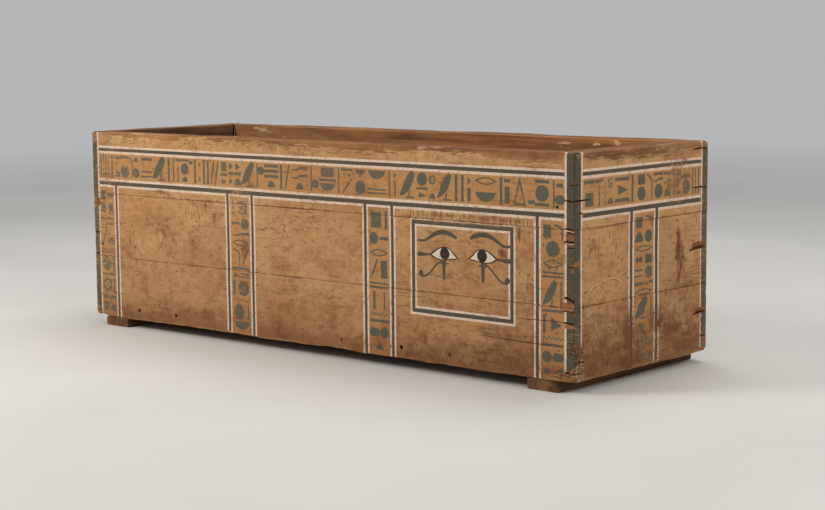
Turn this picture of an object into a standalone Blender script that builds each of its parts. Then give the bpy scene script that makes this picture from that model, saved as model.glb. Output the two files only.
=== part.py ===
"""Open rectangular box coffin of thick planks, mitred at its corners, on two cross battens."""
from collections import namedtuple

import bmesh
import bpy
from mathutils import Vector

# Driving sizes, in metres. The head end is at +X, the painted front at -Y, and the floor it stands on at Z = 0.
LENGTH = 2.100
WIDTH = 0.690
WALL_THICKNESS = 0.070
FLOOR_THICKNESS = 0.070
PLANK_HEIGHTS = {"bottom": 0.215, "middle": 0.221, "top": 0.217}
PIECE_GAP = 0.0003

# Wear: flats left on the outer corners and along the rim, and small flats on the floor boards' edges.
CORNER_WEAR = 0.005
RIM_WEAR = 0.004
BOARD_WEAR = 0.002

# The mitre between the foot end and the back has opened by this much.
OPEN_MITRE_GAP = 0.008

# Battens under the box: their width along the box, their height, and how far they sit in from each end.
BATTEN_WIDTH = 0.112
BATTEN_HEIGHT = 0.031
BATTEN_INSET = 0.055
BATTEN_WEAR = 0.007

# The floor is three boards wide, and is held by round pegs driven through the long walls.
FLOOR_BOARDS = ("front", "middle", "back")
PEG_RADIUS = 0.006
PEG_BITE = 0.030
PEG_RECESS = 0.0015
PEG_SIDES = 16

# A peg is measured from the end of the box that it is nearer to. An empty one has only its hole left.
Peg = namedtuple("Peg", "wall end distance empty")
PEGS = (
    Peg("front", "foot", 0.232, True),
    Peg("front", "foot", 0.423, True),
    Peg("front", "head", 0.898, False),
    Peg("front", "head", 0.649, True),
    Peg("front", "head", 0.456, False),
    Peg("back", "foot", 0.310, False),
    Peg("back", "foot", 0.760, False),
    Peg("back", "head", 0.760, False),
    Peg("back", "head", 0.310, False),
)

# Slots and chipped grooves that run out over an outer corner. "rise" is the height of the groove's lower edge
# above the lower edge of its plank, "reach" its length along the wall, "tall" its height, "deep" its depth.
Groove = namedtuple("Groove", "wall corner plank rise reach tall deep")
GROOVES = (
    Groove("front", "head", "top", 0.079, 0.034, 0.005, 0.012),
    Groove("front", "head", "middle", 0.186, 0.034, 0.026, 0.003),
    Groove("front", "head", "middle", 0.013, 0.032, 0.018, 0.012),
    Groove("front", "head", "bottom", 0.168, 0.036, 0.008, 0.006),
    Groove("front", "head", "bottom", 0.027, 0.034, 0.005, 0.010),
    Groove("front", "foot", "middle", 0.183, 0.040, 0.018, 0.003),
    Groove("front", "foot", "middle", 0.079, 0.035, 0.006, 0.005),
    Groove("front", "foot", "middle", 0.006, 0.026, 0.006, 0.010),
    Groove("head_end", "front", "top", 0.080, 0.073, 0.005, 0.012),
    Groove("head_end", "front", "top", 0.043, 0.040, 0.006, 0.004),
    Groove("head_end", "front", "middle", 0.118, 0.026, 0.014, 0.004),
    Groove("head_end", "front", "bottom", 0.062, 0.050, 0.040, 0.003),
    Groove("head_end", "back", "top", 0.193, 0.080, 0.006, 0.010),
    Groove("head_end", "back", "top", 0.073, 0.080, 0.005, 0.010),
    Groove("head_end", "back", "middle", 0.105, 0.090, 0.016, 0.006),
    Groove("head_end", "back", "bottom", 0.122, 0.075, 0.014, 0.006),
    Groove("head_end", "back", "bottom", 0.048, 0.040, 0.006, 0.008),
)

# Corners that are broken away: how far each break runs along X, along Y and up or down from the corner.
Chip = namedtuple("Chip", "end side level along across tall")
CHIPS = (
    Chip("head", "front", "bottom", 0.022, 0.018, 0.010),
    Chip("head", "back", "bottom", 0.012, 0.016, 0.018),
    Chip("head", "back", "top", 0.012, 0.020, 0.014),
    Chip("foot", "front", "bottom", 0.018, 0.014, 0.014),
    Chip("foot", "front", "top", 0.014, 0.014, 0.008),
    Chip("foot", "back", "bottom", 0.020, 0.024, 0.016),
)

COLOURS = {
    "painted_boards": (0.40, 0.23, 0.10),
    "bare_boards": (0.20, 0.095, 0.040),
    "batten_wood": (0.30, 0.14, 0.052),
    "peg_wood": (0.24, 0.12, 0.05),
}
ROUGHNESS = {"painted_boards": 0.82, "bare_boards": 0.88, "batten_wood": 0.85, "peg_wood": 0.85}

# What follows from the sizes above
HALF_LENGTH = LENGTH / 2
HALF_WIDTH = WIDTH / 2
UNDERSIDE = BATTEN_HEIGHT + PIECE_GAP
SIDE_OF = {"front": -1, "back": 1}
END_OF = {"foot": -1, "head": 1}
CUT_MARGIN = 0.010


def plank_levels():
    """The lower and upper height of each plank, stacked from the walls' underside with a gap at each joint."""
    levels = {}
    z = UNDERSIDE
    for name, height in PLANK_HEIGHTS.items():
        levels[name] = (z, z + height)
        z += height + PIECE_GAP
    return levels


LEVELS = plank_levels()
RIM_HEIGHT = LEVELS["top"][1]
FLOOR_TOP = UNDERSIDE + FLOOR_THICKNESS


def clear_scene():
    for thing in list(bpy.data.objects):
        bpy.data.objects.remove(thing, do_unlink=True)


def material(name):
    made = bpy.data.materials.get(name)
    if made:
        return made
    made = bpy.data.materials.new(name)
    made.use_nodes = True
    made.diffuse_color = (*COLOURS[name], 1.0)
    shader = made.node_tree.nodes["Principled BSDF"]
    shader.inputs["Base Color"].default_value = (*COLOURS[name], 1.0)
    shader.inputs["Roughness"].default_value = ROUGHNESS[name]
    shader.inputs["Metallic"].default_value = 0.0
    return made


def closed_mesh(name, shape):
    """Turns a bmesh into a mesh whose faces point out."""
    shape.normal_update()
    bmesh.ops.recalc_face_normals(shape, faces=shape.faces)
    mesh = bpy.data.meshes.new(name)
    shape.to_mesh(mesh)
    shape.free()
    return mesh


def add_object(name, shape, slot):
    """Turns a bmesh into a named object with its material."""
    mesh = closed_mesh(name, shape)
    thing = bpy.data.objects.new(name, mesh)
    bpy.context.scene.collection.objects.link(thing)
    if slot:
        mesh.materials.append(material(slot))
    return thing


def prism(outline, low, high):
    """A solid that stands on a flat outline, from one height to another."""
    shape = bmesh.new()
    lower = [shape.verts.new((x, y, low)) for x, y in outline]
    upper = [shape.verts.new((x, y, high)) for x, y in outline]
    shape.faces.new(lower[::-1])
    shape.faces.new(upper)
    for i in range(len(outline)):
        j = (i + 1) % len(outline)
        shape.faces.new((lower[i], lower[j], upper[j], upper[i]))
    return shape


def box(low, high):
    return prism([(low[0], low[1]), (high[0], low[1]), (high[0], high[1]), (low[0], high[1])], low[2], high[2])


def slice_off(shape, point, outward):
    """Cuts away what lies beyond a plane and closes the cut."""
    cut = bmesh.ops.bisect_plane(
        shape, geom=shape.verts[:] + shape.edges[:] + shape.faces[:],
        plane_co=point, plane_no=outward, clear_outer=True)
    rim = [e for e in cut["geom_cut"] if isinstance(e, bmesh.types.BMEdge)]
    if rim:
        bmesh.ops.edgenet_fill(shape, edges=rim)


def slice_edge(shape, corner, normal_a, normal_b, width):
    """Leaves a flat along the edge where two faces meet at a point, set back from it by a width on each face."""
    outward = (Vector(normal_a) + Vector(normal_b)).normalized()
    slice_off(shape, Vector(corner) - outward * width / 2 ** 0.5, outward)


def slice_chip(shape, chip):
    """Breaks a corner of the box away along a plane through three points, one on each edge that meets there."""
    sx, sy = END_OF[chip.end], SIDE_OF[chip.side]
    sz = -1 if chip.level == "bottom" else 1
    corner = Vector((sx * HALF_LENGTH, sy * HALF_WIDTH, UNDERSIDE if sz < 0 else RIM_HEIGHT))
    outward = Vector((sx / chip.along, sy / chip.across, sz / chip.tall)).normalized()
    slice_off(shape, corner - Vector((sx * chip.along, 0, 0)), outward)


def wall_outline(wall):
    """Plan of one wall: outer and inner face, mitred at both ends, with the sharp outer tips worn flat.

    Each plan is drawn with the wall's outer face on the line v = 0 and the wall running along u, and is then
    turned into place. The mitres stand back from the corner's diagonal by half of the joint's gap.
    """
    long_wall = wall in SIDE_OF
    half = HALF_LENGTH if long_wall else HALF_WIDTH
    ends = []
    for sign, corner in ((-1, 0), (1, 1)):
        opened = {wall, corner_neighbour(wall, corner)} == {"back", "foot_end"}
        gap = OPEN_MITRE_GAP if opened else PIECE_GAP
        back_off = gap / 2 * 2 ** 0.5
        tip = (sign * (half - CORNER_WEAR / 2 - back_off), CORNER_WEAR / 2)
        ends.append([(sign * (half - max(CORNER_WEAR, back_off)), 0.0), tip,
                     (sign * (half - WALL_THICKNESS - back_off), WALL_THICKNESS)])
    flat = ends[0][::-1] + ends[1]
    if long_wall:
        side = SIDE_OF[wall]
        outline = [(u, side * (HALF_WIDTH - v)) for u, v in flat]
    else:
        side = END_OF[wall.split("_")[0]]
        outline = [(side * (HALF_LENGTH - v), u) for u, v in flat]
    return outline


def corner_neighbour(wall, corner):
    """The wall met at the low (0) or the high (1) end of a wall's run along X or Y."""
    if wall in SIDE_OF:
        return ("foot_end", "head_end")[corner]
    return ("front", "back")[corner]


def wall_outward(wall):
    if wall in SIDE_OF:
        return Vector((0, SIDE_OF[wall], 0))
    return Vector((END_OF[wall.split("_")[0]], 0, 0))


def wear_rim(shape, wall):
    """Flats along the outer and the inner edge of the rim."""
    outward = wall_outward(wall)
    reach = HALF_WIDTH if wall in SIDE_OF else HALF_LENGTH
    up = Vector((0, 0, 1))
    outer = outward * reach + up * RIM_HEIGHT
    inner = outward * (reach - WALL_THICKNESS) + up * RIM_HEIGHT
    slice_edge(shape, outer, outward, up, RIM_WEAR)
    slice_edge(shape, inner, -outward, up, RIM_WEAR)


def meets_corner(wall, chip):
    if wall in SIDE_OF:
        return wall == chip.side
    return wall == chip.end + "_end"


def groove_box(groove):
    """The block that a groove takes out of its plank, past the outer face and past the corner."""
    low_z = LEVELS[groove.plank][0] + groove.rise
    high_z = low_z + groove.tall
    if groove.wall in SIDE_OF:
        side, end = SIDE_OF[groove.wall], END_OF[groove.corner]
        xs = (end * (HALF_LENGTH - groove.reach), end * (HALF_LENGTH + CUT_MARGIN))
        ys = (side * (HALF_WIDTH - groove.deep), side * (HALF_WIDTH + CUT_MARGIN))
    else:
        end, side = END_OF[groove.wall.split("_")[0]], SIDE_OF[groove.corner]
        xs = (end * (HALF_LENGTH - groove.deep), end * (HALF_LENGTH + CUT_MARGIN))
        ys = (side * (HALF_WIDTH - groove.reach), side * (HALF_WIDTH + CUT_MARGIN))
    return box((min(xs), min(ys), low_z), (max(xs), max(ys), high_z))


def peg_place(peg):
    return END_OF[peg.end] * (HALF_LENGTH - peg.distance)


def peg_rod(peg, radius, outer, inner):
    """A round rod across a long wall, from one distance inside the outer face to another."""
    side = SIDE_OF[peg.wall]
    shape = bmesh.new()
    bmesh.ops.create_cone(
        shape, cap_ends=True, segments=PEG_SIDES, radius1=radius, radius2=radius, depth=inner - outer)
    for vert in shape.verts:
        along = vert.co.z + (outer + inner) / 2
        vert.co = Vector((peg_place(peg) + side * vert.co.x, side * (HALF_WIDTH - along),
                          UNDERSIDE + FLOOR_THICKNESS / 2 + vert.co.y))
    return shape


def peg_depth():
    return WALL_THICKNESS + PIECE_GAP + PEG_BITE


def cut_away(thing, pieces):
    """Takes a set of separate blocks out of an object by one Boolean."""
    merged = bmesh.new()
    for piece in pieces:
        mesh = closed_mesh("cutter_piece", piece)
        merged.from_mesh(mesh)
        bpy.data.meshes.remove(mesh)
    cutter = add_object("cutter_" + thing.name, merged, None)
    cutter.hide_render = True
    cutter.display_type = "WIRE"
    cut = thing.modifiers.new("cut", "BOOLEAN")
    cut.operation = "DIFFERENCE"
    cut.solver = "EXACT"
    cut.object = cutter


def hole_cutters(wall):
    """The peg holes of one long wall, from outside its face to the bottom of the hole in the floor board."""
    return [peg_rod(peg, PEG_RADIUS + PIECE_GAP, -CUT_MARGIN, peg_depth() + PIECE_GAP)
            for peg in PEGS if peg.wall == wall]


def build_plank(wall, level):
    low, high = LEVELS[level]
    shape = prism(wall_outline(wall), low, high)
    if level == "top":
        wear_rim(shape, wall)
    for chip in CHIPS:
        if chip.level == level and meets_corner(wall, chip):
            slice_chip(shape, chip)
    thing = add_object(f"{wall}_plank_{level}", shape, "painted_boards")
    pieces = [groove_box(g) for g in GROOVES if g.wall == wall and g.plank == level]
    if level == "bottom" and wall in SIDE_OF:
        pieces += hole_cutters(wall)
    if pieces:
        cut_away(thing, pieces)


def build_floor():
    """Boards that lie lengthwise between the walls, flush with the walls' underside."""
    x = HALF_LENGTH - WALL_THICKNESS - PIECE_GAP
    clear_width = WIDTH - 2 * WALL_THICKNESS
    board_width = (clear_width - PIECE_GAP * (len(FLOOR_BOARDS) + 1)) / len(FLOOR_BOARDS)
    y = -clear_width / 2 + PIECE_GAP
    for name in FLOOR_BOARDS:
        shape = box((-x, y, UNDERSIDE), (x, y + board_width, FLOOR_TOP))
        for edge_y, normal in ((y, (0, -1, 0)), (y + board_width, (0, 1, 0))):
            slice_edge(shape, (0, edge_y, FLOOR_TOP), normal, (0, 0, 1), BOARD_WEAR)
        thing = add_object(f"floor_board_{name}", shape, "bare_boards")
        if name in SIDE_OF:
            cut_away(thing, hole_cutters(name))
        y += board_width + PIECE_GAP


def build_batten(end):
    """A cross batten as long as the box is wide, with its lower long edges worn off."""
    outer = HALF_LENGTH - BATTEN_INSET
    xs = sorted((END_OF[end] * outer, END_OF[end] * (outer - BATTEN_WIDTH)))
    shape = box((xs[0], -HALF_WIDTH, 0.0), (xs[1], HALF_WIDTH, BATTEN_HEIGHT))
    slice_edge(shape, (xs[0], 0, 0), (-1, 0, 0), (0, 0, -1), BATTEN_WEAR)
    slice_edge(shape, (xs[1], 0, 0), (1, 0, 0), (0, 0, -1), BATTEN_WEAR)
    add_object(f"batten_{end}", shape, "batten_wood")


def build_pegs():
    for wall in SIDE_OF:
        kept = [peg for peg in PEGS if peg.wall == wall and not peg.empty]
        for number, peg in enumerate(kept, 1):
            shape = peg_rod(peg, PEG_RADIUS, PEG_RECESS, peg_depth())
            add_object(f"floor_peg_{wall}_{number}", shape, "peg_wood")


def build_coffin():
    clear_scene()
    for wall in ("front", "back", "head_end", "foot_end"):
        for level in PLANK_HEIGHTS:
            build_plank(wall, level)
    build_floor()
    for end in END_OF:
        build_batten(end)
    build_pegs()


build_coffin()
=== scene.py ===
import math

import bpy
import numpy as np
from mathutils import Matrix, Vector
from mathutils.geometry import delaunay_2d_cdt


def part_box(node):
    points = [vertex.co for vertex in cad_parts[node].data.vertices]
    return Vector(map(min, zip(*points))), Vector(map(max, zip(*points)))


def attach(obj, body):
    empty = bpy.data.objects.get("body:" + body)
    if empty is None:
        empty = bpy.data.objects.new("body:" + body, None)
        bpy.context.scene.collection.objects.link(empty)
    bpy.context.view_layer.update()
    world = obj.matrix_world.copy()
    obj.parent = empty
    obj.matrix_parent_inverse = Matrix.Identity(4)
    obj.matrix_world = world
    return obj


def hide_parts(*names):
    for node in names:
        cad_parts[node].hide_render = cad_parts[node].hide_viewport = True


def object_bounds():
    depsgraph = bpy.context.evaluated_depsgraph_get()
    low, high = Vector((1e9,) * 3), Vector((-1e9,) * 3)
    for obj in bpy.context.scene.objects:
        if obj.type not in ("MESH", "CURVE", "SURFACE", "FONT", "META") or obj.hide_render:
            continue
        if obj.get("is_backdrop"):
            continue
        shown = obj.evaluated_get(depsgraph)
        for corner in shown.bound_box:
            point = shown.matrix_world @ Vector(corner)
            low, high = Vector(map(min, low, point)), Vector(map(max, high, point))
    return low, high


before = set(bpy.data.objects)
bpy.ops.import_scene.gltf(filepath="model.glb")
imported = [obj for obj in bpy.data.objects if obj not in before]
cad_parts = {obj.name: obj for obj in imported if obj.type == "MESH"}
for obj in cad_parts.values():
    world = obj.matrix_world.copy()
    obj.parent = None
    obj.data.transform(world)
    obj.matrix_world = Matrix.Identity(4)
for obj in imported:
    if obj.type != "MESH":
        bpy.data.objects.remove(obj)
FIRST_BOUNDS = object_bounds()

# Looks of an open box coffin: worn planks with painted bands, columns of strokes and an eye panel.
# Each wall is drawn flat: "a" runs along it from its left corner as seen from outside, "v" goes up from the
# walls' underside and "d" goes in from the outer face, all in metres.
LOW, HIGH = FIRST_BOUNDS
LEVELS = ("bottom", "middle", "top")
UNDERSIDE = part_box("front_plank_bottom")[0].z
HEIGHT = HIGH.z - UNDERSIDE
LONG_RUN, SHORT_RUN = 2 * HIGH.x, 2 * HIGH.y
X, Y, Z = Vector((1, 0, 0)), Vector((0, 1, 0)), Vector((0, 0, 1))

# Each wall: the way it runs, the way it faces, how far off its outer face is, half its run, and its place
# in the grain
WALLS = {
    "front": (X, -Y, -LOW.y, HIGH.x, 0.0),
    "head_end": (Y, X, HIGH.x, HIGH.y, 10.0),
    "back": (-X, Y, HIGH.y, HIGH.x, 20.0),
    "foot_end": (-Y, -X, -LOW.x, -LOW.y, 30.0),
}
LONG_WALLS = ("front", "back")

# Rounding left by wear: on the corners, the rim, the underside, where two planks meet, on boards, and along
# the battens' undersides
ARRIS, RIM, FOOT, JOINT, BOARD_EDGE, BATTEN_EDGE = 0.0050, 0.0042, 0.0030, 0.0012, 0.0022, 0.0065
# How far the underside and the rim are worn away
FOOT_WEAR, RIM_WEAR = 0.0058, 0.0030
PIECE_GAP, OPEN_MITRE_GAP = 0.0003, 0.008
# How deep a face's unevenness reaches, how far in from its edge a cut gets deep, how ragged the painted shade
# in the open mitre at the near corner's foot is
SKIN, CUT_LIP, MITRE_SHADE_RAGGED = 0.012, 0.0016, 0.0016
# COARSE scales the mesh's spacing. The flat map has an edge, room for the pieces and gaps between them
COARSE = 1.0
MAP_EDGE, MAP_ROOM, MAP_GAP = 0.01, 0.98, 0.006
BACKDROP, BACKDROP_LIGHT = (0.93, 0.94, 0.96), 0.50

# Painted lines: widths of a white line and of the dark stripe between two white ones, then where each line
# of the band starts and stops
WHITE, STRIPE = 0.0070, 0.0110
BAND = {"w1": (0.5965, 0.6040), "b1": (0.5855, 0.5965), "w2": (0.5770, 0.5855), "signs": (0.4890, 0.5770),
        "w3": (0.4805, 0.4890), "b2": (0.4675, 0.4805), "w4": (0.4595, 0.4675)}
# Upright lines run on past the wall's edges
BELOW, ABOVE = -0.02, HEIGHT + 0.02

# Kinds of surface: colour as seen, and how much of the ground it covers
KINDS = {
    "ground": ((0, 0, 0), 0.0), "ochre": ((182, 128, 72), 0.50), "dark": ((70, 70, 60), 0.96),
    "sign": ((82, 87, 76), 0.94), "white": ((228, 202, 180), 0.93), "black": ((30, 26, 22), 0.97),
    "eye": ((226, 208, 186), 0.97), "film": ((124, 133, 134), 0.80), "rust": ((100, 54, 26), 0.74),
    "burnt": ((58, 35, 22), 0.90), "haze": ((112, 110, 104), 0.62), "pale": ((212, 178, 132), 0.66),
    "raw": ((0, 0, 0), 0.0), "bare": ((0, 0, 0), 0.0),
}
KIND_NUMBER = {name: number for number, name in enumerate(KINDS)}
# How far each kind shows wood instead of the ground
BARENESS = {"raw": 0.72, "bare": 1.0}


def linear(rgb):
    """A colour given by its 0 to 255 parts, as the numbers that the shaders take."""
    parts = [c / 255 for c in rgb]
    return tuple(c / 12.92 if c <= 0.04045 else ((c + 0.055) / 1.055) ** 2.4 for c in parts)


# Repeatable unevenness
def lattice(ix, iy, seed):
    """A fixed value from 0 to 1 for each whole place."""
    mixed = (ix * 374761393 + iy * 668265263 + seed * 974634777) & 0xFFFFFFFF
    mixed = ((mixed ^ (mixed >> 13)) * 1274126177) & 0xFFFFFFFF
    return ((mixed ^ (mixed >> 16)) & 0xFFFF) / 65535.0


def soft_noise(x, y, seed):
    """Smooth values from 0 to 1, one lattice cell a unit."""
    ix, iy = np.floor(x).astype(np.int64), np.floor(y).astype(np.int64)
    fx, fy = x - ix, y - iy
    fx, fy = fx * fx * (3 - 2 * fx), fy * fy * (3 - 2 * fy)
    low = lattice(ix, iy, seed) * (1 - fx) + lattice(ix + 1, iy, seed) * fx
    high = lattice(ix, iy + 1, seed) * (1 - fx) + lattice(ix + 1, iy + 1, seed) * fx
    return low * (1 - fy) + high * fy


def rough(x, y, seed, octaves=4):
    """Layers of finer and finer noise about 0, mostly within -1 to 1."""
    x, y = np.broadcast_arrays(np.asarray(x, float), np.asarray(y, float))
    total = sum((soft_noise(x * 2 ** k, y * 2 ** k, seed + 31 * k) - 0.5) / 2 ** k for k in range(octaves))
    return total * 2.2 / (2 - 0.5 ** (octaves - 1))


def blend(value, low, high):
    """A smooth step from 0 to 1 over a range."""
    t = np.clip((value - low) / (high - low), 0, 1)
    return t * t * (3 - 2 * t)


# Flat outlines, as arrays of (a, v)
def there_and_back(first, second):
    return np.concatenate((first, second[::-1]))


def leftwards(ways):
    """Unit steps to the left of each way."""
    ways = ways / np.maximum(np.linalg.norm(ways, axis=1), 1e-9)[:, None]
    return np.stack((-ways[:, 1], ways[:, 0]), 1)


def strip(a0, v0, a1, v1):
    """A painted line or area whose edges wander a little, as a hand leaves them."""
    spacing, wander = 0.024, 0.0007
    low, high = np.array((a0, v0)), np.array((a1, v1))
    run = 0 if a1 - a0 >= v1 - v0 else 1
    t = np.linspace(low[run], high[run], max(3, int((high - low)[run] / spacing) + 2))
    sides = []
    for level in (low[1 - run], high[1 - run]):
        side = np.empty((len(t), 2))
        side[:, run] = t
        side[:, 1 - run] = level + wander * rough(t * 11, level * 91, 5, 3)
        sides.append(side)
    return there_and_back(*sides)


def oval(a, v, ra, rv, count=22):
    turn = np.linspace(0, 2 * math.pi, count, endpoint=False)
    wobble = 1 + 0.05 * rough(np.cos(turn) * 2 + a * 90, np.sin(turn) * 2, 7, 2)
    return np.stack((a + ra * np.cos(turn) * wobble, v + rv * np.sin(turn) * wobble), 1)


def curve_through(values, steps=5):
    """A smooth run of points through the given ones."""
    values = np.asarray(values, float)
    fine = np.linspace(0, len(values) - 1, (len(values) - 1) * steps + 1)
    i = np.clip(fine.astype(int), 0, len(values) - 2)
    t = (fine - i)[:, None]
    slope = np.gradient(values, axis=0)
    return ((2 * t ** 3 - 3 * t ** 2 + 1) * values[i] + (t ** 3 - 2 * t ** 2 + t) * slope[i]
            + (3 * t ** 2 - 2 * t ** 3) * values[i + 1] + (t ** 3 - t ** 2) * slope[i + 1])


def stroke(points):
    """A brush stroke through (a, v, width) points."""
    path = curve_through(points)
    side = leftwards(np.gradient(path[:, :2], axis=0)) * path[:, 2:] / 2
    side *= (1 + 0.10 * rough(path[:, 0] * 160, path[:, 1] * 160, 9, 2))[:, None]
    return there_and_back(path[:, :2] + side, path[:, :2] - side)


def torn(points, ragged):
    """An outline with short steps, each pushed in or out."""
    step, points, fine = 0.0022, np.asarray(points, float), []
    for p, q in zip(points, np.roll(points, -1, axis=0)):
        count = max(1, int(np.linalg.norm(q - p) / step))
        fine.append(p + (q - p) * np.arange(count)[:, None] / count)
    fine = np.concatenate(fine)
    push = ragged * rough(fine[:, 0] * 310, fine[:, 1] * 310, 17, 3)
    return fine + leftwards(np.roll(fine, -1, axis=0) - np.roll(fine, 1, axis=0)) * push[:, None]


def lens(a, v, ra, rv):
    """A pointed oval: two arcs between a left and a right point."""
    t = np.linspace(-1, 1, 11)
    arc = (1 - np.abs(t) ** 1.8) * rv
    top, bottom = np.stack((a + ra * t, v + arc), 1), np.stack((a + ra * t[::-1], v - arc[::-1]), 1)
    return np.concatenate((top, bottom[1:-1]))


# Marks that stand for the painted signs: plain strokes, discs, bars and bowls that spell nothing
SHARE = {"_": 1.0, "-": 1.0, "=": 1.9, "~": 1.5, "z": 1.5, "l": 2.0, "k": 2.6, "n": 1.9, "u": 2.4, "w": 1.9,
         "o": 3.2, "O": 3.2, "c": 3.0, "i": 3.6, "I": 3.6, "/": 5.0, "7": 4.0, "t": 5.0, "f": 1.6}


def mark(code, a0, v0, a1, v1):
    """One mark inside its cell, as (kind, outline) pairs."""
    w, h, ca, cv = a1 - a0, v1 - v0, (a0 + a1) / 2, (v0 + v1) / 2
    thin, bar, r = 0.0062, min(0.0112, 0.75 * h), 0.50 * min(w, h)
    ink = []
    if code == "-":
        ink = [stroke([(a0, cv, bar), (ca, cv + 0.0008, bar * 0.9), (a1, cv, bar)])]
    elif code == "=":
        ink = [stroke([(a0, cv + s * h * 0.24, thin), (a1, cv + s * h * 0.2, thin * 0.8)]) for s in (-1, 1)]
    elif code == "~":
        ink = [stroke([(a0, cv - h * 0.1, thin * 0.6), (a0 + w * 0.3, cv - h * 0.16, thin),
                       (ca, cv + h * 0.1, thin * 1.2), (a1, cv + h * 0.2, thin * 1.5)])]
    elif code == "z":
        tooth, half_width = 0.0075, (0, 0.0022)
        count = max(5, int(w / tooth))
        path = np.array([(a0 + w * k / count, cv + (0.22 if k % 2 else -0.22) * h) for k in range(count + 1)])
        ink = [there_and_back(path + half_width, path - half_width)]
    elif code == "l":
        return [("sign", lens(ca, cv, w / 2, h * 0.42)),
                ("ochre", lens(ca, cv, w / 2 - 0.011, h * 0.42 - 0.0042))]
    elif code == "k":
        ink = [strip(a0 + w * 0.12, v0 + h * 0.06, a1 - w * 0.12, v1 - h * 0.06)]
    elif code == "n":
        ink = [np.array([(ca + r * 1.1 * math.cos(t), v0 + h * 0.1 + min(h * 0.85, r * 1.5) * math.sin(t))
                         for t in np.linspace(0, math.pi, 12)])]
    elif code == "u":
        ink = [np.array([(ca + w * 0.48 * math.cos(t) * (1 if abs(math.cos(t)) > 0.98 else 0.94),
                          v1 - h * 0.05 + min(h * 0.9, w * 0.34) * math.sin(t))
                         for t in np.linspace(-math.pi, 0, 14)])]
    elif code == "w":
        ink = [np.array([(a0 + w * 0.2, v0 + h * 0.1), (a1 - w * 0.1, cv - h * 0.05),
                         (a0 + w * 0.2, v1 - h * 0.1)])]
    elif code == "o":
        ink = [oval(ca, cv, r, r)]
    elif code == "O":
        return [("sign", oval(ca, cv, r, r)), ("ochre", oval(ca, cv, r * 0.6, r * 0.6, 14)),
                ("sign", oval(ca, cv, r * 0.28, r * 0.28, 10))]
    elif code == "c":
        ink = [stroke([(a0 + w * 0.1, v1 - h * 0.05, thin), (a1 - w * 0.25, v1 - h * 0.22, thin * 1.1),
                       (a1 - w * 0.1, cv, thin), (a1 - w * 0.12, v0, thin * 0.8)])]
    elif code == "i":
        ink = [stroke([(ca, v1, thin), (ca + 0.0006, cv, thin * 0.9), (ca, v0, thin * 1.2)])]
    elif code == "I":
        ink = [stroke([(ca, v1, 0.0115), (ca, cv, 0.0095), (ca, v0 + h * 0.12, 0.0110), (ca, v0, 0.0150)])]
    elif code == "/":
        ink = [stroke([(a1 - w * 0.10, v1, w * 0.24), (a1 - w * 0.24, v1 - h * 0.16, w * 0.40),
                       (ca, cv, w * 0.50), (a0 + w * 0.28, v0 + h * 0.26, w * 0.34),
                       (a0 + w * 0.04, v0 + h * 0.10, w * 0.10)]),
               stroke([(ca - w * 0.08, v0 + h * 0.03, thin), (a1, v0 + h * 0.03, thin * 0.8)]),
               stroke([(ca + w * 0.16, v0 + h * 0.30, thin), (ca + w * 0.10, v0 + h * 0.04, thin * 0.7)])]
    elif code == "7":
        ink = [stroke([(a1 - w * 0.1, v1, thin), (ca, cv, thin * 1.1), (a0 + w * 0.1, v0, thin * 0.7)])]
    elif code == "t":
        return [("sign", np.array([(a0, v0), (a1, v0), (ca + 0.002, v1), (ca - 0.002, v1)])),
                ("ochre", np.array([(a0 + 0.0065, v0 + 0.007), (a1 - 0.0065, v0 + 0.007), (ca, v1 - 0.016)]))]
    elif code == "f":
        ink = [oval(ca - w * 0.2, cv, h * 0.3, h * 0.3, 8), oval(ca + w * 0.2, cv, h * 0.3, h * 0.3, 8)]
    return [("sign", shape) for shape in ink]


def share_out(codes, start, stop):
    """Room for each code in turn between two places, by its share."""
    total = sum(SHARE[c] for c in codes)
    at = start
    for code in codes:
        step = (stop - start) * SHARE[code] / total
        yield code, at, at + step
        at += step


def signs_in_band(cells):
    """Marks stacked from the top of the band down, in (left, right, codes) cells."""
    low, high, gap = BAND["signs"][0] + 0.0045, BAND["signs"][1] - 0.0025, 0.0012
    return [shape for a0, a1, codes in cells for code, top, bottom in share_out(codes, high, low)
            for shape in mark(code, a0, bottom + gap, a1, top - gap)]


def signs_in_column(a0, a1, rows):
    """Marks side by side in rows, from the top of a column down."""
    top, bottom, gap, narrow = 0.452, 0.014, 0.0025, 0.35
    heights = [max(SHARE[c] for c in row) for row in rows]
    scale = (top - bottom) / sum(heights)
    found, at = [], top
    for row, height in zip(rows, heights):
        step, left = height * scale, a0
        widths = [narrow if c in "iI" else 1.0 for c in row]
        for code, width in zip(row, widths):
            right = left + (a1 - a0) * width / sum(widths)
            found += mark(code, left + gap, at - step + gap, right - gap, at - gap)
            left = right
        at -= step
    return found


def band(*cells):
    """Cells of marks along a band, their left and right given in millimetres."""
    return [(left / 1000, right / 1000, codes) for left, right, codes in cells]


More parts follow.
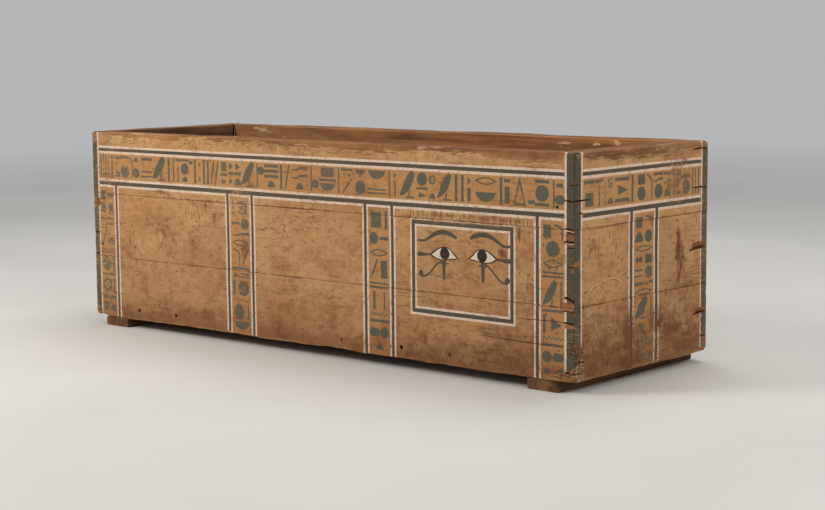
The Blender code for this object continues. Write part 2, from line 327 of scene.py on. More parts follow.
FRONT_BAND = band(
    (42, 52, "i"), (56, 64, "i"), (69, 78, "if"), (83, 92, "i"), (100, 114, "I"), (120, 150, "-_n"),
    (152, 198, "-_o"), (200, 216, "c"), (218, 252, "n_o"), (264, 318, "-_="), (320, 388, "/"), (398, 412, "kI"),
    (425, 433, "i"), (440, 464, "-_i"), (466, 506, "-on"), (508, 526, "-__"), (530, 544, "I"),
    (552, 568, "w_w"), (574, 588, "I"), (594, 606, "I"), (612, 632, "7"), (634, 652, "7"), (660, 694, "k-w"),
    (698, 724, "w-w"), (728, 758, "w-n"), (758, 822, "/"), (828, 842, "i"), (842, 860, "f_"),
    (868, 932, "---n"), (940, 952, "I"), (960, 984, "7"), (994, 1062, "~~n"), (1074, 1086, "i"),
    (1088, 1106, "_f"), (1114, 1186, "k-u"), (1192, 1204, "i"), (1208, 1258, "-f7"), (1266, 1314, "uo"),
    (1320, 1396, "u_="), (1404, 1414, "i"), (1424, 1440, "wi"), (1450, 1512, "/"), (1518, 1562, "o-w"),
    (1566, 1594, "O_n"), (1598, 1654, "/"), (1664, 1680, "I"), (1688, 1704, "I"), (1712, 1730, "wk"),
    (1742, 1824, "l_u"), (1832, 1848, "I"), (1850, 1874, "-k"), (1884, 1930, "t"), (1938, 1962, "__-"),
    (1962, 2012, "-o-"), (2020, 2036, "i"), (2038, 2060, "-f"))
HEAD_BAND = band(
    (44, 94, "-_k"), (98, 134, "-i"), (140, 152, "i"), (156, 186, "k_n"), (194, 266, "-w-"), (274, 290, "I"),
    (304, 352, "ko"), (354, 386, "c"), (392, 442, "-~o"), (446, 486, "-~n"), (494, 506, "i"), (512, 540, "k_f"),
    (544, 588, "_-o"), (598, 608, "i"), (614, 622, "i"), (630, 640, "i"))
FOOT_BAND = band(
    (46, 100, "l_u"), (108, 120, "I"), (128, 176, "-on"), (186, 246, "/"), (256, 300, "k~"), (308, 320, "i"),
    (328, 372, "o_-"), (380, 442, "~=n"), (452, 466, "I"), (474, 524, "-O"), (532, 588, "/"), (598, 640, "u-"))
COLUMN_A = ("kI", "o-", "l", "7k", "=", "Ii", "z", "-", "fo", "n")
COLUMN_B = ("ik", "-o", "~", "l", "c7", "-", "w=", "Io", "z", "oi", "u")
COLUMN_C = ("kc", "o", "l", "=", "/i", "-", "Iw", "z", "-", "of", "n~")
COLUMN_D = ("k-", "ok", "-", "~", "7n", "=", "oI", "-", "Oi", "f-", "kn")
COLUMN_E = ("kc", "no", "l", "fk", "=o", "-~", "l", "/i", "ni", "-k", "Of")

# What stands in the numbered cells below the band, and in the band
COLUMNS = {"front": {0: COLUMN_D, 2: COLUMN_B, 4: COLUMN_A, 6: COLUMN_C},
           "back": {0: COLUMN_E, 2: COLUMN_C, 4: COLUMN_D, 6: COLUMN_B},
           "head_end": {1: COLUMN_E}, "foot_end": {1: COLUMN_A}}
BANDS = {"front": FRONT_BAND, "head_end": HEAD_BAND, "foot_end": FOOT_BAND,
         "back": [(2.1 - right, 2.1 - left, codes[::-1]) for left, right, codes in FRONT_BAND[2:]]}
LONG_CELLS = ((0.0280, 0.1192), (0.1302, 0.6865), (0.6975, 0.8015), (0.8125, 1.3015), (1.3125, 1.4125),
              (1.4235, 1.9645), (1.9755, 2.0725))
SHORT_CELLS = ((0.0290, 0.2720), (0.2860, 0.4025), (0.4170, 0.6570))


def frame_lines(cells, run):
    """The dark stripes between cells and the white border inside each cell, with the bands above them."""
    left, right = cells[0][0], cells[-1][1]
    found = [("ochre", strip(left, BAND["signs"][0] - 0.001, right, BAND["signs"][1] + 0.001)),
             ("dark", strip(0, BELOW, left, ABOVE)), ("dark", strip(right, BELOW, run, ABOVE))]
    for name, kind in (("b1", "dark"), ("b2", "dark"), ("w1", "white"), ("w2", "white"), ("w3", "white")):
        found.append((kind, strip(left + WHITE, BAND[name][0], right - WHITE, BAND[name][1])))
    for (_, a1), (b0, _) in zip(cells, cells[1:]):
        found.append(("dark", strip(a1, BELOW, b0, BAND["b2"][0] + 0.004)))
    low, top = BAND["w4"]
    for a0, a1 in cells:
        found += [("white", strip(a0 + WHITE * 0.5, low, a1 - WHITE * 0.5, top)),
                  ("white", strip(a0, BELOW, a0 + WHITE, ABOVE if a0 == left else top)),
                  ("white", strip(a1 - WHITE, BELOW, a1, ABOVE if a1 == right else top))]
    return found


# The eye panel: its frame, and where each iris is and which way it faces. Shapes are given from the iris,
# outwards being negative
EYE_FRAME = (1.4900, 0.1440, 1.8910, 0.4360)
EYE_MIDDLES = ((1.6256, 0.3369, 1), (1.7679, 0.3395, -1))
IRIS, LINER = 0.0185, 0.0028
UPPER_LID = ((-0.0600, -0.0064), (-0.0400, 0.0070), (-0.0200, 0.0165), (0.0, 0.0203), (0.0200, 0.0158),
             (0.0360, 0.0020), (0.0576, -0.0140))
LOWER_LID = ((0.0576, -0.0140), (0.0330, -0.0158), (0.0, -0.0208), (-0.0220, -0.0205), (-0.0420, -0.0160),
             (-0.0600, -0.0064))
BROW = ((-0.1046, 0.0336, 0.0070), (-0.0776, 0.0346, 0.0080), (-0.0526, 0.0481, 0.0110),
        (-0.0286, 0.0596, 0.0135), (-0.0036, 0.0626, 0.0145), (0.0224, 0.0591, 0.0135),
        (0.0464, 0.0476, 0.0080))
SIDE_BAR = ((-0.1060, -0.0080, 0.0150), (-0.0840, -0.0080, 0.0110), (-0.0570, -0.0064, 0.0050))
TEAR = ((-0.0030, -0.0205, 0.0150), (-0.0032, -0.0330, 0.0140), (-0.0032, -0.0560, 0.0115),
        (-0.0034, -0.0784, 0.0100))
TEAR_FLARE = ((-0.0200, -0.0285, 0.0020), (-0.0040, -0.0295, 0.0080), (0.0150, -0.0280, 0.0020))
TAIL = ((-0.0120, -0.0215, 0.0050), (-0.0366, -0.0402, 0.0060), (-0.0566, -0.0600, 0.0060),
        (-0.0750, -0.0717, 0.0062), (-0.0930, -0.0742, 0.0080))
TAIL_END = (-0.0935, -0.0655, 0.0098)


def eye_panel():
    """A framed pair of eyes with brows, in flat paint."""
    a0, v0, a1, v1 = EYE_FRAME
    inner = WHITE + STRIPE + 0.001
    found = [("white", strip(a0, v0, a1, v1)),
             ("dark", strip(a0 + WHITE, v0 + WHITE, a1 - WHITE, v1 - WHITE * 0.6)),
             ("white", strip(a0 + inner, v0 + inner, a1 - inner, v1 - inner + 0.002)),
             ("ground", strip(a0 + inner + WHITE, v0 + inner + WHITE,
                              a1 - inner - WHITE, v1 - inner - WHITE + 0.002))]
    for ca, cv, way in EYE_MIDDLES:
        def placed(points):
            points = np.array(points, float)
            points[:, 0] = ca + way * points[:, 0]
            points[:, 1] += cv
            return points
        found += [("dark", stroke(placed(line))) for line in (BROW, SIDE_BAR, TEAR, TEAR_FLARE, TAIL)]
        found.append(("dark", oval(ca + way * TAIL_END[0], cv + TAIL_END[1], TAIL_END[2], TAIL_END[2])))
        upper, lower = curve_through(placed(UPPER_LID)), curve_through(placed(LOWER_LID))
        found.append(("black", np.concatenate((upper, lower[1:-1]))))
        inset = np.concatenate((upper - (0, LINER), lower[1:-1] + (0, LINER)))
        inset[:, 0] = ca + (inset[:, 0] - ca) * 0.90 + way * 0.0004
        found += [("eye", inset), ("black", oval(ca, cv, IRIS, IRIS * 1.02, 28))]
    return found


def drips(a, v_low, v_high, spread, count, seed, size=1.0):
    """Short upright dashes scattered about a line, as a run stain leaves them."""
    rng = np.random.default_rng(seed)
    found = []
    for _ in range(count):
        at, v = a + rng.normal(0, spread), rng.uniform(v_low, v_high)
        tall, wide, lean = rng.uniform(0.004, 0.017), size * rng.uniform(0.0016, 0.0044), rng.normal(0, 0.0016)
        dash = [(at - lean, v + tall, wide * 0.4), (at, v, wide), (at + lean, v - tall, wide * 0.5)]
        found.append(("rust", stroke(dash)))
    return found


def specks(a0, v0, a1, v1, count, seed, kind="rust", scale=1.0):
    """Small uneven spots scattered over an area."""
    rng = np.random.default_rng(seed)
    found = []
    for _ in range(count):
        size = rng.uniform(0.0012, 0.0034) * scale
        a, v = rng.uniform(a0, a1), rng.uniform(v0, v1)
        found.append((kind, oval(a, v, size * rng.uniform(0.8, 1.8), size, 9)))
    return found


def many(make, *rows):
    return [shape for row in rows for shape in make(*row)]


def strokes(kind, *lines):
    return [(kind, stroke(line)) for line in lines]


def front_marks():
    """Run stains, specks, the broken foot of the near corner with painted shade in its mitre, and scratches
    over and under the eyes.
    """
    found = many(drips, (1.842, 0.345, 0.368, 0.006, 10, 1), (1.900, 0.395, 0.425, 0.007, 14, 2),
                 (1.860, 0.440, 0.452, 0.055, 22, 3), (1.640, 0.446, 0.455, 0.080, 20, 4),
                 (0.770, 0.255, 0.320, 0.007, 16, 5), (0.360, 0.270, 0.350, 0.050, 16, 6),
                 (1.935, 0.225, 0.300, 0.010, 8, 7), (2.030, 0.300, 0.410, 0.016, 14, 8),
                 (0.205, 0.200, 0.300, 0.030, 12, 9), (0.560, 0.370, 0.440, 0.040, 12, 10),
                 (0.250, 0.006, 0.050, 0.110, 26, 11), (1.650, 0.006, 0.050, 0.200, 30, 12))
    found += many(specks, (0.14, 0.03, 0.68, 0.44, 60, 13), (0.82, 0.02, 1.29, 0.44, 34, 14),
                  (1.43, 0.01, 1.95, 0.13, 44, 15), (1.99, 0.03, 2.06, 0.44, 22, 16),
                  (2.074, 0.050, 2.098, 0.150, 80, 17, "haze", 0.5),
                  (2.074, 0.075, 2.098, 0.105, 24, 18, "burnt"),
                  (2.052, 0.000, 2.096, 0.034, 60, 19, "burnt"),
                  (2.056, 0.002, 2.094, 0.036, 34, 20, "pale", 0.8))
    # Painted shade: a black strip standing in for the dark gap of the mitre at the near corner's foot
    found.append(("black", torn([(2.0950, -0.02), (2.101, -0.02), (2.101, 0.040), (2.0965, 0.044)],
                                MITRE_SHADE_RAGGED)))
    found += strokes("pale", [(2.068, 0.432, 0.002), (2.080, 0.4325, 0.0032), (2.096, 0.430, 0.0024)],
                     [(2.066, 0.396, 0.0024), (2.082, 0.3955, 0.0034), (2.097, 0.397, 0.0020)],
                     [(2.062, 0.1655, 0.0024), (2.080, 0.1650, 0.0040), (2.097, 0.166, 0.0026)],
                     [(1.640, 0.262, 0.001), (1.655, 0.272, 0.0024), (1.672, 0.270, 0.002),
                      (1.690, 0.280, 0.001)],
                     [(1.700, 0.268, 0.001), (1.716, 0.277, 0.0022), (1.742, 0.271, 0.001)])
    for a, v in ((1.652, 0.262), (1.672, 0.274), (1.690, 0.258), (1.712, 0.268), (1.735, 0.262),
                 (1.664, 0.246)):
        found += strokes(
            "rust", [(a - 0.014, v, 0.0006), (a, v + 0.006, 0.0018), (a + 0.010, v - 0.004, 0.0006)],
            [(a, v + 0.005, 0.0006), (a + 0.003, v - 0.008, 0.0014), (a + 0.001, v - 0.018, 0.0006)])
    return found


def head_marks():
    """The dark run at the right, stains, lifted plaster, the film over the column, and the broken near foot
    with painted shade in its mitre.
    """
    found = many(drips, (0.527, 0.300, 0.390, 0.0036, 30, 21, 1.9), (0.541, 0.280, 0.345, 0.009, 26, 22, 1.4),
                 (0.534, 0.232, 0.268, 0.005, 14, 23, 1.3), (0.530, 0.520, 0.575, 0.024, 26, 24, 1.3),
                 (0.100, 0.350, 0.430, 0.035, 20, 25), (0.200, 0.330, 0.420, 0.030, 12, 26),
                 (0.115, 0.020, 0.120, 0.045, 26, 27), (0.620, 0.060, 0.150, 0.020, 14, 28))
    found += many(specks, (0.04, 0.02, 0.27, 0.44, 60, 29), (0.43, 0.02, 0.65, 0.44, 60, 30),
                  (0.004, 0.106, 0.024, 0.160, 40, 31, "haze", 0.6), (0.29, 0.02, 0.40, 0.16, 30, 32))
    found += strokes("pale", [(0.068, 0.250, 0.001), (0.080, 0.261, 0.0034), (0.100, 0.270, 0.0030),
                              (0.150, 0.279, 0.0022), (0.190, 0.283, 0.0038), (0.222, 0.272, 0.0034),
                              (0.230, 0.262, 0.0030), (0.212, 0.250, 0.001)])
    found += strokes("rust", [(0.070, 0.246, 0.001), (0.084, 0.257, 0.0020), (0.102, 0.266, 0.0014),
                              (0.150, 0.2755, 0.0012), (0.188, 0.279, 0.0020), (0.216, 0.269, 0.0018),
                              (0.224, 0.260, 0.001)])
    found += strokes("pale", [(0.205, 0.238, 0.001), (0.216, 0.247, 0.0028), (0.222, 0.241, 0.001)])
    found += [(kind, torn(shape, ragged)) for kind, shape, ragged in (
        ("haze", stroke([(0.322, 0.122, 0.010), (0.318, 0.095, 0.022), (0.330, 0.062, 0.024),
                         (0.352, 0.034, 0.024), (0.378, 0.020, 0.010)]), 0.004),
        ("film", stroke([(0.324, 0.106, 0.003), (0.322, 0.085, 0.008), (0.334, 0.058, 0.010),
                         (0.354, 0.036, 0.011), (0.370, 0.026, 0.004)]), 0.002),
        ("rust", oval(0.266, 0.112, 0.007, 0.013, 12), 0.005),
        ("rust", oval(0.424, 0.122, 0.009, 0.014, 12), 0.006),
        ("burnt", oval(0.018, 0.085, 0.026, 0.017, 16), 0.0080),
        ("burnt", [(-0.004, -0.02), (0.046, -0.02), (0.048, 0.030), (0.036, 0.048), (-0.004, 0.054)], 0.0060))]
    found += many(specks, (0.002, 0.070, 0.044, 0.102, 26, 33), (0.002, 0.066, 0.040, 0.104, 14, 36, "black"),
                  (0.003, 0.002, 0.046, 0.050, 60, 34, "haze", 1.5),
                  (0.004, 0.004, 0.048, 0.050, 46, 35, "pale"))
    # Painted shade: a black strip standing in for the dark gap of the mitre at the near corner's foot
    found.append(("black", torn([(-0.001, -0.02), (0.0050, -0.02), (0.0035, 0.044), (-0.001, 0.040)],
                                MITRE_SHADE_RAGGED)))
    return found


def hidden_marks(wall):
    """Plain scattered stains on a wall that the photograph doesn't show."""
    seed, run = int(WALLS[wall][4]), 2 * WALLS[wall][3]
    found = specks(0.03, 0.02, run - 0.03, 0.44, int(run * 60), seed + 1)
    for k in range(int(run * 7)):
        found += drips(0.1 + (run - 0.2) * ((k * 0.618) % 1), 0.02, 0.44, 0.02, 6, seed + 2 + k)
    return found


def paint_of(wall):
    """Everything painted on a wall, later shapes over earlier ones."""
    cells, run = (LONG_CELLS, LONG_RUN) if wall in LONG_WALLS else (SHORT_CELLS, SHORT_RUN)
    columns = [(*cells[number], rows) for number, rows in COLUMNS[wall].items()]
    found = [("ochre", strip(a0 + WHITE, BELOW, a1 - WHITE, BAND["w4"][0])) for a0, a1, _ in columns]
    found += frame_lines(cells, run) + signs_in_band(BANDS[wall])
    for a0, a1, rows in columns:
        found += signs_in_column(a0 + WHITE + 0.002, a1 - WHITE - 0.002, rows)
    if wall == "front":
        return found + eye_panel() + front_marks()
    return found + (head_marks() if wall == "head_end" else hidden_marks(wall))


# Cuts in a wall's face: an outline, how deep it is, how far in from its edge it gets that deep, and its kind
def groove(a0, v0, a1, v1, tall, deep):
    """A slot or chipped groove along the wall, from one place to another."""
    line = [(a0, v0, tall * 0.70), (a0 * 0.65 + a1 * 0.35, v0 * 0.65 + v1 * 0.35 + tall * 0.15, tall),
            (a0 * 0.3 + a1 * 0.7, v0 * 0.3 + v1 * 0.7 - tall * 0.15, tall * 0.85), (a1, v1, tall)]
    return torn(stroke(line), tall * 0.32), deep, min(CUT_LIP, tall * 0.3), "bare"


def patch(a0, v0, a1, v1, deep, ragged=0.0045):
    """A shallow place where the ground has come off with some wood."""
    return torn([(a0, v0), (a1, v0), (a1, v1), (a0, v1)], ragged), deep, CUT_LIP, "raw"


def hole(a, v, radius, deep):
    return oval(a, v, radius, radius, 18), deep, 0.0006, "bare"


def crack(points, deep=0.004):
    return stroke(points), deep, 0.0007, "bare"


PEG_V, PEG_HOLE = 0.035, 0.0064
PEG_DEEP, EMPTY_DEEP, NAIL_DEEP = 0.0697, 0.060, 0.012
CUTS = {
    "front": [
        groove(2.066, 0.517, 2.104, 0.516, 0.0050, 0.012), groove(2.062, 0.438, 2.104, 0.436, 0.0052, 0.009),
        groove(2.068, 0.428, 2.104, 0.424, 0.0046, 0.007), groove(2.064, 0.401, 2.104, 0.403, 0.0064, 0.010),
        groove(2.072, 0.384, 2.104, 0.386, 0.0040, 0.005), groove(2.064, 0.243, 2.104, 0.235, 0.0085, 0.012),
        groove(2.058, 0.206, 2.104, 0.203, 0.0044, 0.006), groove(2.062, 0.172, 2.104, 0.170, 0.0070, 0.009),
        groove(2.067, 0.029, 2.104, 0.028, 0.0050, 0.010), groove(2.074, 0.115, 2.104, 0.114, 0.0050, 0.003),
        groove(2.078, 0.330, 2.104, 0.331, 0.0044, 0.004), groove(2.082, 0.560, 2.104, 0.561, 0.0040, 0.004),
        patch(2.068, 0.405, 2.104, 0.424, 0.0016), patch(2.050, 0.208, 2.104, 0.230, 0.0020),
        patch(2.066, 0.158, 2.104, 0.167, 0.0012), patch(2.086, 0.318, 2.104, 0.340, 0.0012),
        patch(2.050, -0.006, 2.106, 0.022, 0.0020, 0.0080), patch(-0.006, 0.396, 0.036, 0.417, 0.0030),
        patch(-0.006, -0.006, 0.030, 0.022, 0.0020), groove(0.034, 0.297, -0.004, 0.298, 0.0055, 0.005),
        groove(0.026, 0.221, -0.004, 0.222, 0.0060, 0.010), hole(0.232, PEG_V, PEG_HOLE, EMPTY_DEEP),
        hole(0.423, PEG_V, PEG_HOLE, EMPTY_DEEP), hole(1.451, PEG_V + 0.002, PEG_HOLE, EMPTY_DEEP),
        hole(1.202, PEG_V, PEG_HOLE, PEG_DEEP), hole(1.644, PEG_V, PEG_HOLE, PEG_DEEP),
        hole(0.018, 0.0175, 0.0042, NAIL_DEEP), hole(0.043, 0.256, 0.0046, NAIL_DEEP),
        hole(2.040, 0.498, 0.0048, NAIL_DEEP),
        crack([(1.886, 0.169, 0.0006), (1.93, 0.1705, 0.0018), (2.0, 0.1725, 0.0022), (2.066, 0.174, 0.0016)]),
        crack([(1.752, 0.107, 0.0006), (1.83, 0.1045, 0.0018), (1.93, 0.103, 0.0022), (2.062, 0.102, 0.0008)]),
        crack([(1.430, 0.166, 0.0005), (1.46, 0.1665, 0.0016), (1.492, 0.1675, 0.0006)], 0.003)
    ],
    "head_end": [
        groove(0.074, 0.516, -0.004, 0.518, 0.0050, 0.012), groove(0.040, 0.480, -0.004, 0.482, 0.0055, 0.004),
        patch(-0.006, 0.331, 0.026, 0.347, 0.0020), groove(0.046, 0.058, -0.004, 0.060, 0.0050, 0.009),
        groove(0.030, 0.028, -0.004, 0.026, 0.0042, 0.006), groove(0.022, 0.560, -0.004, 0.561, 0.0044, 0.005),
        groove(0.608, 0.630, 0.694, 0.632, 0.0055, 0.010), groove(0.606, 0.512, 0.694, 0.513, 0.0050, 0.010),
        groove(0.590, 0.322, 0.694, 0.333, 0.0085, 0.008), patch(0.604, 0.326, 0.694, 0.344, 0.0016),
        groove(0.610, 0.124, 0.694, 0.131, 0.0070, 0.008), patch(0.622, 0.129, 0.694, 0.142, 0.0014),
        groove(0.652, 0.052, 0.694, 0.053, 0.0060, 0.008), patch(0.650, -0.006, 0.700, 0.014, 0.0020),
        patch(0.100, -0.006, 0.210, 0.006, 0.0018), patch(0.420, -0.006, 0.560, 0.005, 0.0018),
        crack([(0.040, 0.4315, 0.0006), (0.13, 0.4325, 0.0018), (0.244, 0.434, 0.0006)], 0.003),
        crack([(0.450, 0.222, 0.0004), (0.54, 0.2235, 0.0014), (0.640, 0.222, 0.0006)], 0.002)
    ],
    "back": [
        hole(LONG_RUN - 0.310, PEG_V, PEG_HOLE, PEG_DEEP), hole(LONG_RUN - 0.760, PEG_V, PEG_HOLE, PEG_DEEP),
        hole(0.310, PEG_V, PEG_HOLE, PEG_DEEP), hole(0.760, PEG_V, PEG_HOLE, PEG_DEEP),
        crack([(0.40, 0.300, 0.0006), (0.62, 0.303, 0.0020), (0.95, 0.299, 0.0008)]),
        crack([(1.30, 0.120, 0.0006), (1.52, 0.123, 0.0018), (1.80, 0.121, 0.0008)])
    ],
    "foot_end": [
        crack([(0.20, 0.330, 0.0006), (0.34, 0.334, 0.0020), (0.52, 0.331, 0.0008)])
    ],
}

# Soft patches, in millimetres: a, v, half length and half height, then the amount. "stain" is dark, "worn"
# shows wood, "faded" thins the paint and "plaster" leaves pale ground on the bare inner face
PATCHES = {
    "front": {
        "stain": [
            (1842, 355, 14, 12, 0.7), (1780, 450, 160, 7, 0.55), (320, 300, 160, 60, 0.22),
            (600, 380, 50, 70, 0.22), (360, 455, 30, 7, 0.7), (770, 285, 25, 35, 0.65), (250, 25, 160, 18, 0.4),
            (480, 45, 100, 30, 0.3), (1160, 30, 160, 20, 0.3), (1700, 280, 90, 20, 0.22),
            (1900, 420, 35, 12, 0.6), (1930, 255, 20, 30, 0.35), (1550, 80, 100, 20, 0.35),
            (1700, 40, 160, 20, 0.35), (1900, 60, 60, 40, 0.4), (70, 80, 50, 80, 0.4), (290, 354, 14, 10, 0.6),
            (1050, 470, 160, 6, 0.45), (2000, 110, 50, 12, 0.5), (2020, 30, 50, 30, 0.5),
            (30, 410, 30, 14, 0.8), (1860, 50, 160, 80, 0.6), (1550, 30, 300, 50, 0.52),
            (900, 635, 300, 12, 0.44), (1700, 648, 300, 10, 0.6), (1960, 640, 100, 16, 0.6),
            (250, 640, 160, 10, 0.4)],
        "worn": [
            (10, 648, 20, 26, 0.62), (2060, 10, 40, 9, 0.62), (8, 10, 16, 18, 0.62), (0, 220, 10, 250, 0.36),
            (2100, 20, 12, 30, 0.5), (800, 0, 900, 8, 0.42), (20, 407, 20, 10, 0.8), (2080, 219, 20, 8, 0.5)],
        "faded": [
            (745, 430, 35, 50, 0.45), (745, 100, 35, 120, 0.25), (70, 230, 60, 260, 0.3),
            (90, 530, 60, 50, 0.35), (190, 540, 70, 40, 0.25), (1080, 540, 220, 50, 0.15),
            (640, 530, 100, 50, 0.15), (1690, 434, 200, 4, 0.45)],
    },
    "head_end": {
        "stain": [
            (528, 340, 12, 50, 0.95), (545, 300, 20, 30, 0.75), (534, 250, 10, 14, 0.65),
            (480, 100, 60, 45, 0.62), (440, 130, 30, 30, 0.5), (100, 70, 80, 60, 0.62),
            (525, 555, 50, 35, 0.62), (170, 100, 120, 90, 0.56), (570, 50, 90, 50, 0.56),
            (90, 395, 20, 18, 0.5), (200, 350, 60, 30, 0.3), (560, 600, 14, 8, 0.9), (264, 115, 22, 34, 1.25),
            (640, 330, 50, 10, 0.6), (650, 130, 40, 10, 0.6), (340, 100, 50, 50, 0.5), (410, 135, 30, 30, 1.1),
            (570, 250, 70, 20, 0.3), (140, 638, 90, 12, 0.75), (380, 634, 160, 16, 0.75),
            (300, 20, 100, 40, 0.6), (600, 628, 50, 14, 0.6)],
        "worn": [
            (16, 339, 12, 9, 0.5), (680, 652, 16, 16, 0.62), (18, 644, 10, 8, 0.46), (690, 300, 8, 400, 0.34),
            (680, 40, 20, 40, 0.5), (150, 265, 70, 16, 0.3), (340, 0, 400, 10, 0.42)],
        "faded": [
            (266, 60, 6, 80, 0.85), (291, 60, 6, 80, 0.8), (412, 50, 18, 80, 0.32), (345, 60, 50, 60, 0.45),
            (520, 550, 50, 50, 0.4), (160, 550, 30, 30, 0.4), (40, 60, 30, 60, 0.4), (345, 270, 40, 15, 0.3),
            (670, 250, 20, 300, 0.2)],
    },
    "back": {
        "stain": [
            (500, 120, 250, 60, 0.4), (1400, 300, 160, 80, 0.35), (1000, 30, 800, 30, 0.4),
            (1750, 400, 40, 60, 0.5), (950, 360, 50, 50, 0.35)],
        "worn": [
            (1000, 0, 1200, 12, 0.55), (0, 300, 8, 400, 0.5), (1000 * LONG_RUN, 300, 8, 400, 0.5),
            (1620, 200, 80, 14, 0.5)],
        "faded": [
            (800, 520, 500, 80, 0.35), (1700, 200, 300, 200, 0.35), (350, 200, 200, 200, 0.3)],
        "plaster": [
            (1905, 638.5, 26, 5, 0.27), (1862, 637, 24, 5.5, 0.27), (367, 636, 20, 7, 0.26),
            (275, 639, 32, 8, 0.28), (230, 632, 20, 6, 0.24), (488, 632, 30, 6, 0.16),
            (1100, 300, 120, 30, 0.18)],
    },
    "foot_end": {
        "stain": [
            (200, 120, 120, 80, 0.45), (550, 300, 40, 100, 0.45), (350, 20, 300, 30, 0.4)],
        "worn": [
            (0, 300, 8, 400, 0.5), (1000 * SHORT_RUN, 300, 8, 400, 0.5), (300, 0, 400, 12, 0.55)],
        "faded": [
            (350, 300, 300, 250, 0.35)],
    },
}

# Broken corners of the box: along X, along Y and up or down from the corner, as far as each break runs
BREAKS = {
    ("head", "front", "bottom"): (0.022, 0.018, 0.010), ("head", "back", "bottom"): (0.012, 0.016, 0.018),
    ("head", "back", "top"): (0.012, 0.020, 0.014), ("foot", "front", "bottom"): (0.018, 0.014, 0.014),
    ("foot", "front", "top"): (0.014, 0.014, 0.008), ("foot", "back", "bottom"): (0.020, 0.024, 0.016),
}
BATTEN_BREAK = (0.020, 0.026, 0.024)


class Block:
    """A plank or board laid out flat: its start, its three ways, its ranges, and how its edges are worn."""

    def __init__(self, node, run, up, out, grain_at):
        low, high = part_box(node)
        ends = [[f(low.dot(w), high.dot(w)) for f in (min, max)] for w in (run, up, out)]
        self.node, self.run, self.up, self.out, self.grain_at = node, run, up, out, grain_at
        self.a_range, self.v_range = ends[0], ends[1]
        self.thick = ends[2][1] - ends[2][0]
        self.zero = Vector((0, 0, 0)) + out * ends[2][1]
        self.mitres, self.wall, self.level = {}, None, None
        self.radius = dict.fromkeys(("left", "right", "bottom", "top"), BOARD_EDGE)
        self.back_radius = dict.fromkeys(("bottom", "top"), BOARD_EDGE)
        self.spacing, self.bumps = (0.012, 0.006), 0.0012
        self.sag = {"bottom": 0.0, "top": 0.0}

    def inset(self, side, d, along=None):
        """How far the block's edge has drawn in at a depth."""
        radius = self.radius[side]
        x = np.clip(radius - d, 0, radius)
        value = radius - np.sqrt(np.maximum(radius ** 2 - x ** 2, 0))
        if side in self.back_radius:
            back = self.back_radius[side]
            x = np.clip(back - (self.thick - d), 0, back)
            value = value + back - np.sqrt(np.maximum(back ** 2 - x ** 2, 0))
        if side in self.mitres:
            apart = self.mitres[side]
            if apart > PIECE_GAP:
                # The opened mitre nearly closes halfway through, so no light passes
                apart = apart * (1 - 0.96 * np.exp(-((d - self.thick * 0.55) / 0.018) ** 2))
            value = np.maximum(value, d + apart)
        if along is not None:
            uneven = 0.35 + 1.5 * soft_noise(along * 9, along * 0, 77) if radius == JOINT else 1.0
            value = value * uneven + 0 * along
        return value

    def ends(self, d):
        """The block's left and right edge at a depth."""
        return self.a_range[0] + self.inset("left", d), self.a_range[1] - self.inset("right", d)

    def levels(self, d, along):
        """The block's lower and upper edge at a depth, at places along it."""
        return self.v_range[0] + self.inset("bottom", d, along), self.v_range[1] - self.inset("top", d, along)

    def from_ends(self, a):
        """How far each place is from the nearer end."""
        return np.minimum(a - self.a_range[0], self.a_range[1] - a)

    def world(self, a, v, d):
        ways = np.array([self.run, self.up, self.out])
        return np.array(self.zero) + a[:, None] * ways[0] + v[:, None] * ways[1] - d[:, None] * ways[2]

    def depth_steps(self):
        """Depths of the rings that carry the outer face's outline round to the back."""
        front, back = max(self.radius.values()), max(self.back_radius.values())
        turn = np.radians((0, 22, 42, 65, 90))
        lead = front * (1 - np.cos(turn))
        tail = self.thick - back * (1 - np.cos(turn[::-1]))
        opened = self.mitres and max(self.mitres.values()) > PIECE_GAP
        middle = np.linspace(front, self.thick - back, 10 if opened or max(self.sag.values()) else 6)[1:-1]
        return np.concatenate((lead, middle, tail))


def wall_block(wall, level):
    run, out, far, half, grain_at = WALLS[wall]
    block = Block(f"{wall}_plank_{level}", run, Z, out, grain_at)
    # The wall's own left corner and underside are its zero
    block.zero = out * far - run * half + Z * UNDERSIDE
    block.a_range = [0.0, 2 * half]
    block.v_range = [v - UNDERSIDE for v in block.v_range]
    lowest, highest = level == "bottom", level == "top"
    block.radius = {"left": ARRIS, "right": ARRIS, "bottom": FOOT if lowest else JOINT,
                    "top": RIM if highest else JOINT}
    block.back_radius = {"bottom": JOINT, "top": RIM if highest else JOINT}
    block.sag = {"bottom": FOOT_WEAR if lowest else 0.0, "top": RIM_WEAR if highest else 0.0}
    tight, wide = PIECE_GAP / 2 * 2 ** 0.5, OPEN_MITRE_GAP / 2 * 2 ** 0.5
    block.mitres = {"left": wide if wall == "foot_end" else tight, "right": wide if wall == "back" else tight}
    block.wall, block.level, block.bumps = wall, level, 0.0006
    fine = {"front": (0.0075, 0.0034), "head_end": (0.0060, 0.0034)}
    block.spacing = fine.get(wall, (0.012, 0.0055))
    return block


# Shaping
def inside(points, outline):
    """Which points are inside an outline."""
    x, y = points[:, 0], points[:, 1]
    odd = np.zeros(len(points), bool)
    for (x0, y0), (x1, y1) in zip(outline, np.roll(outline, -1, axis=0)):
        if y0 != y1:
            odd ^= ((y0 > y) != (y1 > y)) & (x < (x1 - x0) * (y - y0) / (y1 - y0) + x0)
    return odd


